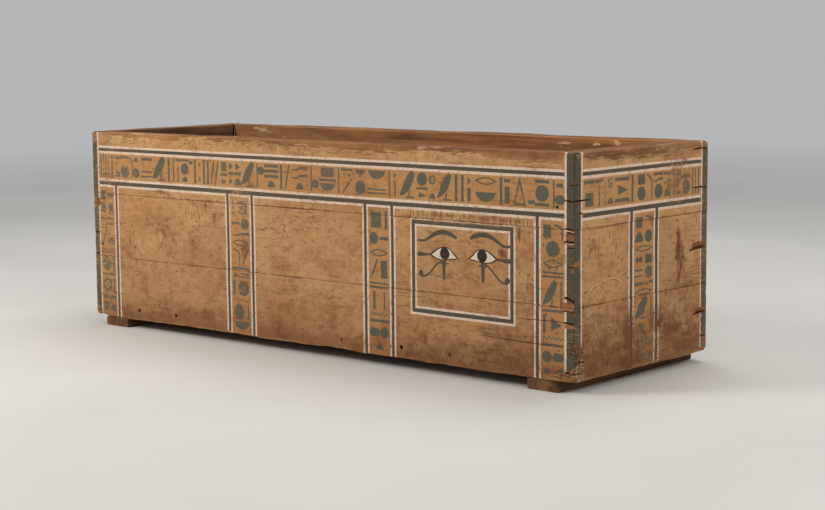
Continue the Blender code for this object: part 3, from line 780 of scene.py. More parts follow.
def edge_distance(points, outline):
    """How far each point is from an outline."""
    nearest = np.full(len(points), 9.0)
    for p, q in zip(outline, np.roll(outline, -1, axis=0)):
        way = q - p
        t = np.clip(((points - p) @ way) / max(way @ way, 1e-12), 0, 1)
        nearest = np.minimum(nearest, np.linalg.norm(points - (p + t[:, None] * way), axis=1))
    return nearest


def near(points, outline, margin=0.0):
    """Numbers of the points in an outline's box."""
    low, high = outline.min(0) - margin, outline.max(0) + margin
    return np.flatnonzero(((points >= low) & (points <= high)).all(1))


def cut_depth(points, cuts):
    """How deep the slots, holes and cracks are at each point."""
    depth = np.zeros(len(points))
    for outline, deep, lip, _ in cuts:
        at = near(points, outline, 0.0001)
        if len(at):
            reach = np.clip(edge_distance(points[at], outline) / lip, 0, 1)
            depth[at] = np.maximum(depth[at], np.where(inside(points[at], outline), deep * reach, 0))
    return depth


def shrunk(outline, by):
    """An outline drawn in by a distance, for the floor of a cut."""
    ahead, behind = np.roll(outline, -1, axis=0), np.roll(outline, 1, axis=0)
    area = np.sum(outline[:, 0] * ahead[:, 1] - ahead[:, 0] * outline[:, 1])
    return outline + leftwards(ahead - behind) * by * (1 if area > 0 else -1)


def relief(block, a, v):
    """Unevenness of the outer face, as extra depth: waves in the plank, grain, and bites out of its ends."""
    g = a + block.grain_at
    extra = block.bumps * (rough(g * 3, v * 9, 3, 3) + 0.7 * rough(g * 16, v * 70, 13, 3))
    if block.wall:
        bite = np.clip(rough(v * 55, g * 0 + np.round(g), 21, 3) - 0.15, 0, 1) * 0.0042
        extra = extra + bite * np.exp(-np.clip(block.from_ends(a), 0, 1) / 0.0045)
        step = {"bottom": 0.0, "middle": 0.0005, "top": -0.0003}[block.level]
        extra = extra + step * (1 + rough(g * 1.5, g * 0, 41, 2))
    return extra


def sagged(block, a, v, d):
    """Heights with the rim worn down and the underside worn up, unevenly."""
    g = a + block.grain_at
    for side, edge, way in (("top", block.v_range[1], -1), ("bottom", block.v_range[0], 1)):
        amount = block.sag[side]
        if amount:
            wear = amount * np.clip(0.5 + 0.9 * rough(g * 7, d * 26 + 5, 61, 5), 0, 1.3)
            v = v + way * wear * np.clip(1 - np.abs(edge - v) / 0.030, 0, 1)
    return v


def grid_points(block, bounds, dense):
    """A loose grid over the outer face, finer near broken corners."""
    a0, a1, v0, v1 = bounds
    fine, margin = 0.0028, 0.0012
    step_a, step_v = (s * COARSE for s in block.spacing)
    na, nv = max(3, round((a1 - a0) / step_a)), max(3, round((v1 - v0) / step_v))
    rng = np.random.default_rng(len(block.node) * 7 + int(block.grain_at))
    i, j = np.meshgrid(np.arange(1, na), np.arange(1, nv), indexing="ij")
    a = a0 + (a1 - a0) * (i + (j % 2) * 0.5 - 0.25 + rng.uniform(-0.2, 0.2, i.shape)) / na
    v = v0 + (v1 - v0) * (j + rng.uniform(-0.2, 0.2, i.shape)) / nv
    points = [np.stack((a.ravel(), v.ravel()), 1)]
    for ca, cv, ra, rv in dense:
        columns = np.linspace(ca - ra, ca + ra, max(2, int(2 * ra / fine)))
        rows = np.linspace(cv - rv, cv + rv, max(2, int(2 * rv / fine)))
        extra = np.stack(np.meshgrid(columns, rows), -1).reshape(-1, 2)
        points.append(extra + rng.uniform(-0.0007, 0.0007, extra.shape))
    points = np.concatenate(points)
    return points[((points > (a0 + margin, v0 + margin)) & (points < (a1 - margin, v1 - margin))).all(1)]


def first_outline(block):
    """The outer face's own outline: along the bottom, up the right, back along the top, down the left."""
    step, rise_step = (0.0075, 0.0045) if block.wall else (0.010, 0.008)
    a0, a1 = block.ends(0.0)
    along = np.linspace(a0, a1, max(4, int((a1 - a0) / (step * COARSE))))
    low, high = block.levels(0.0, along)
    t = np.linspace(0, 1, max(4, int((high[0] - low[0]) / rise_step)))[1:-1]
    right = np.stack((np.full(len(t), a1), low[-1] + (high[-1] - low[-1]) * t), 1)
    left = np.stack((np.full(len(t), a0), low[0] + (high[0] - low[0]) * t), 1)
    return np.concatenate((np.stack((along, low), 1), right, np.stack((along, high), 1)[::-1], left[::-1]))


def triangulated(outline, loose, lines):
    """Triangles inside an outline, through loose points and along lines.

    Returns the points, the triangles, and where the outline's points went.
    """
    points = [Vector(p) for p in outline]
    edges = []
    for line in lines:
        start = len(points)
        points += [Vector(p) for p in line]
        edges += [(start + k, start + (k + 1) % len(line)) for k in range(len(line))]
    points += [Vector(p) for p in loose]
    made, _, tris, sources, _, _ = delaunay_2d_cdt(points, edges, [list(range(len(outline)))], 1, 1e-5)
    went = {s: k for k, source in enumerate(sources) for s in source if s < len(outline)}
    made, tris = np.array([tuple(p) for p in made]), np.array([t for t in tris if len(t) == 3])
    tris = tris[inside(made[tris].mean(1), outline)]
    # Points of lines that run on past the outline are in no triangle
    used, renumbered = np.unique(tris, return_inverse=True)
    return made[used], renumbered.reshape(-1, 3), {s: int(np.searchsorted(used, k)) for s, k in went.items()}


def border(tris):
    """The single loop round a set of triangles, in their turning sense, and the triangle beside each step."""
    pairs = np.concatenate((tris[:, [0, 1]], tris[:, [1, 2]], tris[:, [2, 0]])).tolist()
    seen = {(a, b) for a, b in pairs}
    follow = {a: (b, k % len(tris)) for k, (a, b) in enumerate(pairs) if (b, a) not in seen}
    at = start = next(iter(follow))
    loop, beside = [], []
    while not loop or at != start:
        loop.append(at)
        at, tri = follow[at]
        beside.append(tri)
    return np.array(loop), np.array(beside)


def patch_field(block, name, a, v):
    """How strong a kind of soft patch is at each place."""
    field = np.zeros(len(a))
    for *sizes, amount in PATCHES.get(block.wall, {}).get(name, ()):
        ca, cv, ra, rv = (size / 1000 for size in sizes)
        near_by = ((a - ca) / ra) ** 2 + ((v - cv) / rv) ** 2
        field = np.maximum(field, amount * np.exp(-0.5 * near_by * (1 + 0.5 * rough(a * 40, v * 60, 51, 2))))
    return field


def break_planes(block):
    """Broken corners of a block: a point of each plane, its outward way, and the dense patch on the face."""
    if block.node == "batten_head":
        low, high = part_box(block.node)
        along, across, tall = BATTEN_BREAK
        corner = Vector((high.x, low.y, high.z))
        out = Vector((1 / along, -1 / across, 1 / tall)).normalized()
        return [(corner - X * along, out, (corner.dot(block.run), corner.dot(block.up), across, along))]
    found = []
    for (end, side, level), (along, across, tall) in BREAKS.items():
        if level != block.level or block.wall not in (side, end + "_end"):
            continue
        sx, sy, sz = (1 if end == "head" else -1), (1 if side == "back" else -1), (1 if level == "top" else -1)
        corner = Vector((sx * HIGH.x, sy * HIGH.y, HIGH.z if sz > 0 else UNDERSIDE))
        out = Vector((sx / along, sy / across, sz / tall)).normalized()
        reach = along if block.wall in LONG_WALLS else across
        a, v = ((corner - block.zero).dot(way) for way in (block.run, block.up))
        found.append((corner - Vector((sx * along, 0, 0)), out, (a, v, reach, tall)))
    return found


def lay_on(kinds, middles, shapes):
    """Gives each (kind, outline) shape's kind to the triangles whose middles are in it, in turn."""
    for kind, shape in shapes:
        at = near(middles, shape)
        kinds[at[inside(middles[at], shape)]] = KIND_NUMBER[kind]


def shape_block(block):
    """One block's closed mesh: places, faces, flat map, each face's kind and material, and point values."""
    planes = break_planes(block)
    outline = first_outline(block)
    a0, a1 = block.ends(0.0)
    v0, v1 = outline[:, 1].min(), outline[:, 1].max()

    def touches(shape):
        return shape[:, 1].max() > v0 and shape[:, 1].min() < v1
    paint = [shape for shape in (paint_of(block.wall) if block.wall else []) if touches(shape[1])]
    cuts = [cut for cut in CUTS.get(block.wall, ()) if touches(cut[0])]
    # A cut's floor starts just inside the place where it gets its full depth
    lines = [p for _, p in paint] + [c[0] for c in cuts] + [shrunk(c[0], c[2] * 1.02) for c in cuts]
    rows = map_rows(a0, a1)
    lines += [np.array([(a0 + (a1 - a0) * k / rows, v) for v in (v0 - 0.01, v1 + 0.01)])
              for k in range(1, rows)]
    loose = grid_points(block, (a0, a1, v0, v1), [p[2] for p in planes])
    flat, tris, _ = triangulated(outline, loose, lines)

    # What each triangle of the outer face shows, with bare cuts last
    kinds = np.zeros(len(tris), int)
    ordered = sorted(cuts, key=lambda c: c[3] == "bare")
    lay_on(kinds, flat[tris].mean(1), paint + [(kind, shape) for shape, _, _, kind in ordered])

    # The outer face, and rings that carry its outline to the back
    loop, beside = border(tris)
    steps = block.depth_steps()
    edge = flat[loop]
    cut = cut_depth(flat, cuts)
    bottom, top = block.levels(0.0, edge[:, 0])
    upright = (np.abs(edge[:, 0] - a0) < 2e-5) | (np.abs(edge[:, 0] - a1) < 2e-5)
    side_a = np.clip((edge[:, 0] - a0) / (a1 - a0), 0, 1)
    side_v = np.clip((edge[:, 1] - bottom) / (top - bottom), 0, 1)
    side_v = np.where(upright, side_v, np.round(side_v))
    all_a, all_v, all_d = [flat[:, 0]], [flat[:, 1]], [cut]
    for step in steps[1:]:
        depth = np.maximum(step, cut[loop])
        (left, right), (low, high) = block.ends(depth), block.levels(depth, edge[:, 0])
        all_a.append(left + (right - left) * side_a)
        all_v.append(low + (high - low) * side_v)
        all_d.append(depth)
    a, v, d = (np.concatenate(x) for x in (all_a, all_v, all_d))
    ring_ids = [loop] + [len(flat) + k * len(loop) + np.arange(len(loop)) for k in range(len(steps) - 1)]

    # The back, on the last ring
    rear = np.stack((a[ring_ids[-1]], v[ring_ids[-1]]), 1)
    (ra0, rv0), (ra1, rv1) = rear.min(0), rear.max(0)
    grid = np.meshgrid(np.arange(ra0 + 0.007, ra1 - 0.004, 0.014 * COARSE),
                       np.arange(rv0 + 0.006, rv1 - 0.003, 0.009 * COARSE))
    rear_flat, rear_tris, went = triangulated(rear, np.stack([g.ravel() for g in grid], 1), [])
    ids = np.full(len(rear_flat), -1)
    for source, made in went.items():
        ids[made] = ring_ids[-1][source]
    fresh = np.flatnonzero(ids < 0)
    ids[fresh] = len(a) + np.arange(len(fresh))
    a, v = np.concatenate((a, rear_flat[fresh, 0])), np.concatenate((v, rear_flat[fresh, 1]))
    d = np.concatenate((d, np.full(len(fresh), block.thick)))
    back_side = ids[rear_tris][:, ::-1]

    # Faces: outer, rings, back. Material 0 is the painted face, 1 the wood behind it
    quads, quad_kind, quad_material = [], [], []
    worn_to, inner_from = max(block.radius.values()) * 1.05, block.thick * 0.96
    over_rim = (edge[:, 1] > (v0 + v1) / 2) & ~upright & (block.level == "top")
    for near_ids, far_ids, depth in zip(ring_ids, ring_ids[1:], steps[1:]):
        ahead_near, ahead_far = np.roll(near_ids, -1), np.roll(far_ids, -1)
        quads.append(np.stack((ahead_near, near_ids, far_ids, ahead_far), 1))
        shown = depth <= worn_to
        quad_kind.append(kinds[beside] if shown else
                         np.where(over_rim, KIND_NUMBER["ground"], KIND_NUMBER["bare"]))
        quad_material.append(np.where(over_rim & (depth <= inner_from), 0, 0 if shown and block.wall else 1))
    maps = flat_map(flat, tris, edge, steps, rear_flat, rear_tris)
    faces = [f.tolist() for f in (tris, np.concatenate(quads), back_side)]
    face_kind = np.concatenate((kinds, *quad_kind, np.full(len(back_side), KIND_NUMBER["ground"])))
    material = np.concatenate((np.full(len(tris), 0 if block.wall else 1), *quad_material,
                               np.full(len(back_side), 1)))

    # Wear, then the mitres hold everything in
    grain_a, grain_v, grain_d = a, v, d
    g = a + block.grain_at
    inner_bumps = 0.0011 * (rough(g * 5, v * 16, 71, 3) + 0.5 * rough(a * 30, v * 90, 73, 2))
    d = (d + np.clip(1 - d / SKIN, 0, 1) * relief(block, a, v)
         + np.clip(1 - (block.thick - d) / SKIN, 0, 1) * inner_bumps)
    v = sagged(block, a, v, d)
    if block.mitres:
        hold = np.clip(d, 0, block.thick)
        tight = min(block.mitres.values())
        a = np.clip(a, block.a_range[0] + hold + tight, block.a_range[1] - hold - tight)
    if block.level in ("middle", "top"):
        v = np.maximum(v, block.v_range[0])
    if block.level in ("bottom", "middle"):
        v = np.minimum(v, block.v_range[1])
    place = block.world(a, v, d)
    broken = np.zeros(len(place))
    for point, out, _ in planes:
        past = (place - np.array(point)) @ np.array(out)
        x, y, z = place.T
        lump = 0.0030 * np.clip(rough(x * 55 + y * 31, z * 60 + y * 47, 91, 3) + 0.2, -0.3, 1)
        move = np.clip(past + lump * blend(past, -0.003, 0.006), 0, None)
        place = place - move[:, None] * np.array(out)
        broken = np.maximum(broken, blend(past, -0.0015, 0.0010))

    values = {"grain": np.stack((g, grain_v, grain_d), 1)}
    values.update((name, patch_field(block, name, grain_a, grain_v)) for name in ("stain", "faded", "plaster"))
    values["stain"] = np.maximum(values["stain"], joint_stain(block, grain_a, grain_v))
    values["worn"] = wear_field(block, grain_a, grain_v, grain_d, broken)
    return place, faces, maps, face_kind, material, values


def joint_stain(block, a, v):
    """Dirt that has settled along the joints between planks, more in some stretches than in others."""
    if not block.wall:
        return np.zeros(len(a))
    low, high = block.v_range
    reach = np.minimum(v - low if block.level != "bottom" else 1.0, high - v if block.level != "top" else 1.0)
    uneven = 0.72 + 0.55 * rough((a + block.grain_at) * 5, v * 0 + 3, 95, 4)
    return np.clip(uneven, 0, 1) * np.clip(1 - reach / 0.0034, 0, 1)


def wear_field(block, a, v, d, broken):
    """How much bare wood shows: 0 none, 1 all of it."""
    if not block.wall:
        return np.ones(len(a)) * 0.5
    g, above_band = a + block.grain_at, BAND["w1"][1]
    top = blend(v, above_band + 0.004, HEIGHT - 0.004) * 0.42
    top = (top + 0.16 + 0.26 * rough(g * 3.2, v * 12, 81, 3)) * (v > above_band + 0.002)
    ends = block.from_ends(a)
    top = top * (0.35 + 0.65 * blend(ends, 0.024, 0.050))
    arris = (0.36 + 0.16 * rough(v * 17, a * 0 + block.grain_at, 87, 3)) * np.exp(-np.clip(ends, 0, 1) / 0.0030)
    foot = (0.44 + 0.14 * rough(g * 9, v * 0, 89, 3)) * np.exp(-np.clip(v, 0, 1) / 0.008)
    over = np.where(d > 0.006, 0.52 + 0.16 * rough(a * 7, d * 40, 83, 3), 0)
    return np.max((top, arris, foot, over, patch_field(block, "worn", a, v), broken * 1.2), axis=0)


def map_rows(a0, a1):
    """How many rows the outer face takes in the flat map: a long plank is cut in three."""
    return 3 if a1 - a0 > 1.5 else 1


def flat_map(flat, tris, edge, steps, rear_flat, rear_tris):
    """Places in a square map for each face corner: the back and rings small, the outer face large, in rows."""
    (a0, v0), (a1, v1) = edge.min(0), edge.max(0)
    length, height = a1 - a0, v1 - v0
    rows = map_rows(a0, a1)
    small = MAP_ROOM / length * (1.0 if rows > 1 else 0.65)
    profile = np.concatenate(([0.0], np.cumsum(np.maximum(np.diff(steps), 0.0006))))
    back = (rear_flat - rear_flat.min(0)) * small + (MAP_EDGE, MAP_EDGE)
    level = MAP_EDGE + (np.ptp(rear_flat[:, 1]) * small + MAP_GAP)

    # The rings: a row of strips each for the lower side, the upper side and the two ends
    ahead = np.roll(edge, -1, axis=0)
    middle = (edge + ahead) / 2
    upright = (np.abs(middle[:, 0] - a0) < 1e-4) | (np.abs(middle[:, 0] - a1) < 1e-4)
    first = np.where(upright, edge[:, 1] - v0, edge[:, 0] - a0)
    second = np.where(upright, ahead[:, 1] - v0, ahead[:, 0] - a0)
    strip_row = np.where(upright, 2, np.where(middle[:, 1] < (v0 + v1) / 2, 0, 1))
    start = MAP_EDGE + np.where(upright & (middle[:, 0] > (a0 + a1) / 2), height * small + MAP_GAP, 0.0)
    foot = level + strip_row * (profile[-1] * small + MAP_GAP)
    level += 3 * (profile[-1] * small + MAP_GAP)
    rings = []
    for near_by, far in zip(profile, profile[1:]):
        corners = [(second, near_by), (first, near_by), (first, far), (second, far)]
        rings.append(np.stack([np.stack((start + u * small, foot + w * small), 1) for u, w in corners], 1))

    large = min(MAP_ROOM * rows / length, (MAP_EDGE + MAP_ROOM - level - MAP_GAP * rows) / (rows * height))
    corner = flat[tris]
    row = np.clip(((corner.mean(1)[:, 0] - a0) / length * rows).astype(int), 0, rows - 1)[:, None]
    outer = np.stack((MAP_EDGE + (corner[..., 0] - a0 - row * length / rows) * large,
                      level + row * (height * large + MAP_GAP) + (corner[..., 1] - v0) * large), -1)
    return outer, np.concatenate(rings), back[rear_tris][:, ::-1]


def in_scene(name, data):
    made = bpy.data.objects.new(name, data)
    bpy.context.scene.collection.objects.link(made)
    return made


def finished(mesh, looks, sharp_from):
    """Gives a mesh whose faces and values are made its materials, its soft shading and its sharp edges."""
    for look in looks:
        mesh.materials.append(look)
    mesh.polygons.foreach_set("use_smooth", np.ones(len(mesh.polygons), bool))
    mesh.validate()
    mesh.update()
    mesh.set_sharp_from_angle(angle=math.radians(sharp_from))
    return mesh


def make_piece(block, looks):
    place, faces, maps, face_kind, material, values = shape_block(block)
    micron = np.round(place / 1e-6).astype(np.int64)
    _, first, merged = np.unique(micron, axis=0, return_index=True, return_inverse=True)
    merged = merged.reshape(-1).tolist()
    kept_faces, kept, kept_map, number = [], [], [], 0
    for group, group_map in zip(faces, maps):
        for face, spots in zip(group, group_map.tolist()):
            ids = [merged[k] for k in face]
            stay = [k for k in range(len(ids)) if ids[k] != ids[k - 1]]
            if len(stay) >= 3 and len({ids[k] for k in stay}) == len(stay):
                kept_faces.append([ids[k] for k in stay])
                kept_map += [spots[k] for k in stay]
                kept.append(number)
            number += 1
    face_kind = face_kind[kept]
    mesh = bpy.data.meshes.new(block.node)
    mesh.from_pydata(place[first].tolist(), [], kept_faces)
    mesh.polygons.foreach_set("material_index", material[kept].astype(np.int32))
    colours = np.array([(*linear(rgb), cover) for rgb, cover in KINDS.values()], np.float32)
    bareness = np.array([BARENESS.get(kind, 0.0) for kind in KINDS], np.float32)
    layers = [(name, "FLOAT_VECTOR" if data.ndim == 2 else "FLOAT", "POINT", data[first])
              for name, data in values.items()]
    layers += [("paint", "FLOAT_COLOR", "FACE", colours[face_kind]),
               ("bare", "FLOAT", "FACE", bareness[face_kind])]
    field = {"FLOAT_VECTOR": "vector", "FLOAT_COLOR": "color", "FLOAT": "value"}
    for name, kind, domain, data in layers:
        layer = mesh.attributes.new(name, kind, domain)
        layer.data.foreach_set(field[kind], data.astype(np.float32).ravel())
    mesh.uv_layers.new(name="OFBake").data.foreach_set("uv", np.array(kept_map, np.float32).ravel())
    piece = in_scene("shown_" + block.node, finished(mesh, looks, 38))
    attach(piece, "root")
    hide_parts(block.node)


# Surfaces
class Look:
    """A node material put together socket by socket, laid out on the grain."""

    def __init__(self, name):
        self.material = bpy.data.materials.new(name)
        self.material.use_nodes = True
        self.tree = self.material.node_tree
        self.shader = self.tree.nodes["Principled BSDF"]
        self.shader.inputs["Specular IOR Level"].default_value = 0.25
        self.place = None

    def node(self, kind, inputs=None, output=0, **settings):
        made = self.tree.nodes.new(kind)
        for key, value in settings.items():
            setattr(made, key, value)
        for key, value in (inputs or {}).items():
            self.give(made.inputs[key], value)
        return made.outputs[output]

    def give(self, socket, value):
        if isinstance(value, bpy.types.NodeSocket):
            self.tree.links.new(value, socket)
        elif isinstance(value, tuple) and len(value) == 3 and socket.type == "RGBA":
            socket.default_value = (*linear(value), 1.0)
        else:
            socket.default_value = value

    def attribute(self, name, output):
        return self.node("ShaderNodeAttribute", output=output, attribute_name=name)

    def part_of_place(self, number):
        return self.node("ShaderNodeSeparateXYZ", {0: self.place}, number)

    def stretched(self, scale, move=(0.0, 0.0, 0.0)):
        return self.node("ShaderNodeMapping", {"Vector": self.place, "Scale": scale, "Location": move})

    def noise(self, scale, detail=4.0, rough=0.55, warp=0.0, place=None):
        return self.node("ShaderNodeTexNoise", {"Vector": place or self.place, "Scale": scale, "Detail": detail,
                                                "Roughness": rough, "Distortion": warp})

    def grain(self, along, across, detail=4.0, rough=0.55, warp=0.0, move=(0.0, 0.0, 0.0)):
        """Noise with its own scale along the grain and across it."""
        return self.noise(1.0, detail, rough, warp, self.stretched((along, across, across), move))

    def ramp(self, value, low, high, start=0.0, stop=1.0):
        given = {"Value": value, "From Min": low, "From Max": high, "To Min": start, "To Max": stop}
        return self.node("ShaderNodeMapRange", given, interpolation_type="SMOOTHSTEP")

    def calc(self, how, first, second=0.0):
        return self.node("ShaderNodeMath", {0: first, 1: second}, operation=how)

    def times(self, first, second):
        return self.calc("MULTIPLY", first, second)

    def plus(self, total, *parts):
        """A value with a share of each other value added, given as (value, share)."""
        for value, share in parts:
            total = self.calc("ADD", total, self.times(value, share))
        return total

    def less(self, value, *losses):
        """A value cut down by a share of itself wherever a loss, given as (loss, share), is full."""
        for loss, share in losses:
            value = self.times(value, self.calc("SUBTRACT", 1.0, self.times(loss, share)))
        return value

    def mix(self, amount, first, second, how="MIX"):
        return self.node("ShaderNodeMix", {0: amount, 6: first, 7: second}, 2, data_type="RGBA", blend_type=how)

    def tinted(self, colour, *tints):
        """A colour with (layer, low, high, start, stop, tint) laid over it in turn, as the layer rises."""
        for *ramp, tint in tints:
            colour = self.mix(self.ramp(*ramp), colour, tint)
        return colour

    def finish(self, colour, roughness, height, relief=0.0016):
        bump = self.node("ShaderNodeBump", {"Height": height, "Distance": relief, "Strength": 1.0})
        for name, value in (("Base Color", colour), ("Roughness", roughness), ("Normal", bump)):
            self.give(self.shader.inputs[name], value)
        return self.material


def wood_colour(look, dark, middle, light):
    """Bare wood: long streaks, fine pores and broad patches."""
    streak, fine = look.grain(3.0, 60.0, 5.0, 0.62), look.grain(18.0, 420.0, 3.0, 0.6)
    broad = look.grain(2.0, 9.0)
    colour = look.mix(look.ramp(streak, 0.32, 0.66), dark, middle)
    colour = look.tinted(colour, (broad, 0.45, 0.70, 0.0, 1.0, light), (fine, 0.55, 0.72, 0.0, 0.45, dark))
    return colour, streak, fine


def hair_cracks(look):
    """Long cracks with the grain, and a net of short ones in places."""
    long_wave = look.grain(3.0, 38.0, 3.0, 0.5)
    long_crack = look.ramp(look.calc("ABSOLUTE", look.calc("SUBTRACT", long_wave, 0.5)), 0.0, 0.017, 1.0, 0.0)
    moved = look.stretched((1.0, 1.0, 1.0), (5.0, 0.0, 0.0))
    long_some = look.ramp(look.noise(7.0, 4.0, 0.6, place=moved), 0.53, 0.60)
    shaking = look.node("ShaderNodeTexNoise", {"Vector": look.place, "Scale": 60.0}, 1)
    shaken = look.node("ShaderNodeVectorMath", {0: look.stretched((17.0, 25.0, 25.0)), 1: shaking},
                       operation="ADD")
    net = look.node("ShaderNodeTexVoronoi", {"Vector": shaken, "Scale": 1.0}, feature="DISTANCE_TO_EDGE")
    net_some = look.ramp(look.noise(9.0, 5.0, 0.66), 0.545, 0.605)
    net_crack = look.times(look.ramp(net, 0.008, 0.036, 1.0, 0.0), net_some)
    return look.calc("MAXIMUM", look.times(long_crack, long_some), net_crack)


def painted_look():
    """Tan ground over wood, with flat paint that flakes and wears to the ground and to the wood."""
    look = Look("painted_planks")
    look.place = look.attribute("grain", 1)
    paint_colour, cover = look.attribute("paint", 0), look.attribute("paint", 3)
    stain, worn, faded, bare = (look.attribute(n, 2) for n in ("stain", "worn", "faded", "bare"))

    broad, streak = look.grain(1.8, 3.0, 6.0, 0.62), look.grain(5.0, 95.0, 6.0, 0.66)
    blotch = look.grain(9.0, 13.0, 8.0, 0.70, 0.2)
    mottle = look.grain(36.0, 46.0, 6.0, 0.68, 0.2, (2.0, 1.0, 0.0))
    wiped = look.grain(52.0, 13.0, 6.0, 0.62, 0.0, (0.0, 4.0, 0.0))
    fine, grit = look.noise(170.0, 4.0, 0.66), look.noise(620.0, 2.0, 0.6)
    ground = look.tinted(
        look.mix(look.ramp(broad, 0.36, 0.66), (192, 148, 99), (170, 124, 79)),
        (blotch, 0.49, 0.65, 0.0, 0.54, (142, 92, 51)), (blotch, 0.32, 0.45, 0.42, 0.0, (206, 164, 114)),
        (mottle, 0.53, 0.66, 0.0, 0.48, (130, 84, 45)), (mottle, 0.35, 0.46, 0.36, 0.0, (206, 166, 117)),
        (wiped, 0.55, 0.70, 0.0, 0.26, (136, 86, 47)), (wiped, 0.34, 0.45, 0.18, 0.0, (210, 172, 124)),
        (streak, 0.36, 0.54, 0.12, 0.0, (122, 76, 42)), (fine, 0.55, 0.70, 0.0, 0.36, (112, 70, 40)),
        (fine, 0.34, 0.44, 0.20, 0.0, (214, 178, 130)))
    cracks = hair_cracks(look)
    ground = look.mix(look.times(cracks, 0.50), ground, (98, 52, 28))

    # Specks, dirt along the foot, darkening towards the bottom that is partly soot and partly painted shade,
    # stains
    spot = look.ramp(look.noise(75.0, 3.0, 0.6), 0.665, 0.71, 0.0, 0.75)
    ground = look.mix(spot, ground, (88, 52, 30))
    along_v = look.part_of_place(1)
    ground = look.tinted(ground, (look.plus(along_v, (blotch, -0.20)), -0.090, 0.020, 0.62, 0.0, (126, 78, 42)))
    # Darker towards the bottom of the walls: partly soot, partly painted shade
    ground = look.mix(look.ramp(along_v, 0.0, 0.42, 0.24, 0.0), ground, (104, 70, 44), "MULTIPLY")
    stain_at = look.plus(stain, (look.calc("SUBTRACT", blotch, 0.5), 1.3),
                         (look.calc("SUBTRACT", mottle, 0.5), 1.0))
    stained = look.ramp(stain_at, 0.16, 0.86, 0.0, 0.84)
    stain_tone = look.mix(look.ramp(fine, 0.42, 0.58), (92, 54, 26), (124, 78, 40))
    ground = look.mix(look.times(stained, look.ramp(stain, 0.02, 0.2)), ground, stain_tone)

    # Paint: dusty patches in it, flakes gone from it
    dust = look.times(look.ramp(look.noise(55.0, 6.0, 0.70), 0.48, 0.66, 0.0, 0.36),
                      look.ramp(look.node("ShaderNodeRGBToBW", {0: paint_colour}), 0.012, 0.045, 0.15, 1.0))
    paint = look.mix(dust, paint_colour, (146, 122, 92), "SOFT_LIGHT")
    paint = look.mix(look.times(dust, 0.55), paint, (146, 122, 92))
    paint = look.tinted(paint, (fine, 0.36, 0.52, 0.30, 0.0, (64, 46, 32)),
                        (mottle, 0.56, 0.68, 0.0, 0.35, (116, 74, 46)))
    paint = look.mix(look.times(stained, look.ramp(stain, 0.1, 0.5, 0.0, 0.6)), paint, (96, 58, 34))
    flaked = look.ramp(look.plus(look.grain(60.0, 110.0, 6.0, 0.66), (faded, 0.42), (worn, 0.10)), 0.635, 0.70)
    covers = look.less(cover, (flaked, 0.92), (faded, 0.55), (cracks, 0.5))
    colour = look.mix(covers, ground, paint)

    # Where paint and ground are gone the wood shows, with a pale fringe of plaster
    wood, wood_streak, pores = wood_colour(look, (118, 74, 41), (152, 103, 61), (174, 124, 77))
    wood = look.mix(look.times(stained, look.ramp(stain, 0.02, 0.3, 0.0, 0.75)), wood, (84, 50, 27))
    feather = look.noise(1.0, 6.0, 0.70, place=look.stretched((7.0, 130.0, 60.0), (1.0, 6.0, 0.0)))
    ragged = look.times(look.calc("ADD", look.grain(13.0, 48.0, 7.0, 0.68, 0.3, (9.0, 2.0, 0.0)), feather), 0.5)
    tearing = look.times(look.calc("SUBTRACT", ragged, 0.5), look.ramp(worn, 0.02, 0.16, 0.3, 2.3))
    bare_at = look.calc("ADD", look.calc("ADD", worn, tearing), bare)
    open_wood = look.ramp(bare_at, 0.40, 0.54, 0.0, 0.94)
    fringe = look.times(look.ramp(bare_at, 0.30, 0.42), look.ramp(worn, 0.12, 0.35))
    colour = look.mix(look.times(fringe, 0.46), colour, (214, 174, 118))
    colour = look.mix(open_wood, colour, wood)
    colour = look.mix(look.ramp(look.part_of_place(2), 0.003, 0.009), colour, (214, 200, 184), "MULTIPLY")
    colour = look.tinted(colour, (bare, 0.80, 0.95, 0.0, 0.50, (66, 38, 21)))

    height = look.plus(look.times(covers, 0.10), (streak, 0.5), (wiped, 0.6), (blotch, 1.1), (mottle, 1.0),
                       (fine, 0.45), (grit, 0.12), (cracks, -0.6), (flaked, -0.12), (spot, -0.3))
    rough_wood = look.plus(look.times(wood_streak, 1.5), (pores, 0.5))
    height = look.plus(height, (open_wood, look.calc("SUBTRACT", rough_wood, 1.6)))
    return look.finish(colour, look.calc("ADD", look.times(fine, 0.14), 0.70), height)


def bare_look(name, dark, middle, light, patch_tone, patch_from, dust, painted_light_span=None):
    """Unpainted wood with some remains of pale ground on it, and painted light, if a span of the grain is
    given, that is full before the span and fades out across it.
    """
    look = Look(name)
    look.place = look.attribute("grain", 1)
    colour, streak, fine = wood_colour(look, dark, middle, light)
    ragged = look.grain(7.0, 24.0, 7.0, 0.66, 0.4, (4.0, 8.0, 1.0))
    remains = look.ramp(look.calc("ADD", ragged, look.attribute("plaster", 2)), patch_from, patch_from + 0.045)
    colour = look.mix(look.times(remains, 0.8), colour, patch_tone)
    stains, dusty = look.grain(3.0, 8.0, 5.0, 0.6, 0.0, (1.0, 3.0, 2.0)), look.noise(11.0, 5.0, 0.6)
    colour = look.tinted(colour, (stains, 0.50, 0.72, 0.0, 0.5, dark),
                         (dusty, 0.35, 0.70, 0.0, dust, (168, 140, 108)))
    # Painted light: lighter before the given span of the grain, fading out across it
    if painted_light_span:
        lighter = look.ramp(look.part_of_place(0), *painted_light_span, 1.0, 0.0)
        colour = look.mix(lighter, colour, (312, 310, 298), "MULTIPLY")
    height = look.plus(look.times(streak, 1.4), (fine, 0.5), (remains, 0.35), (ragged, 0.8))
    return look.finish(colour, look.calc("ADD", look.times(fine, 0.15), 0.74), height)


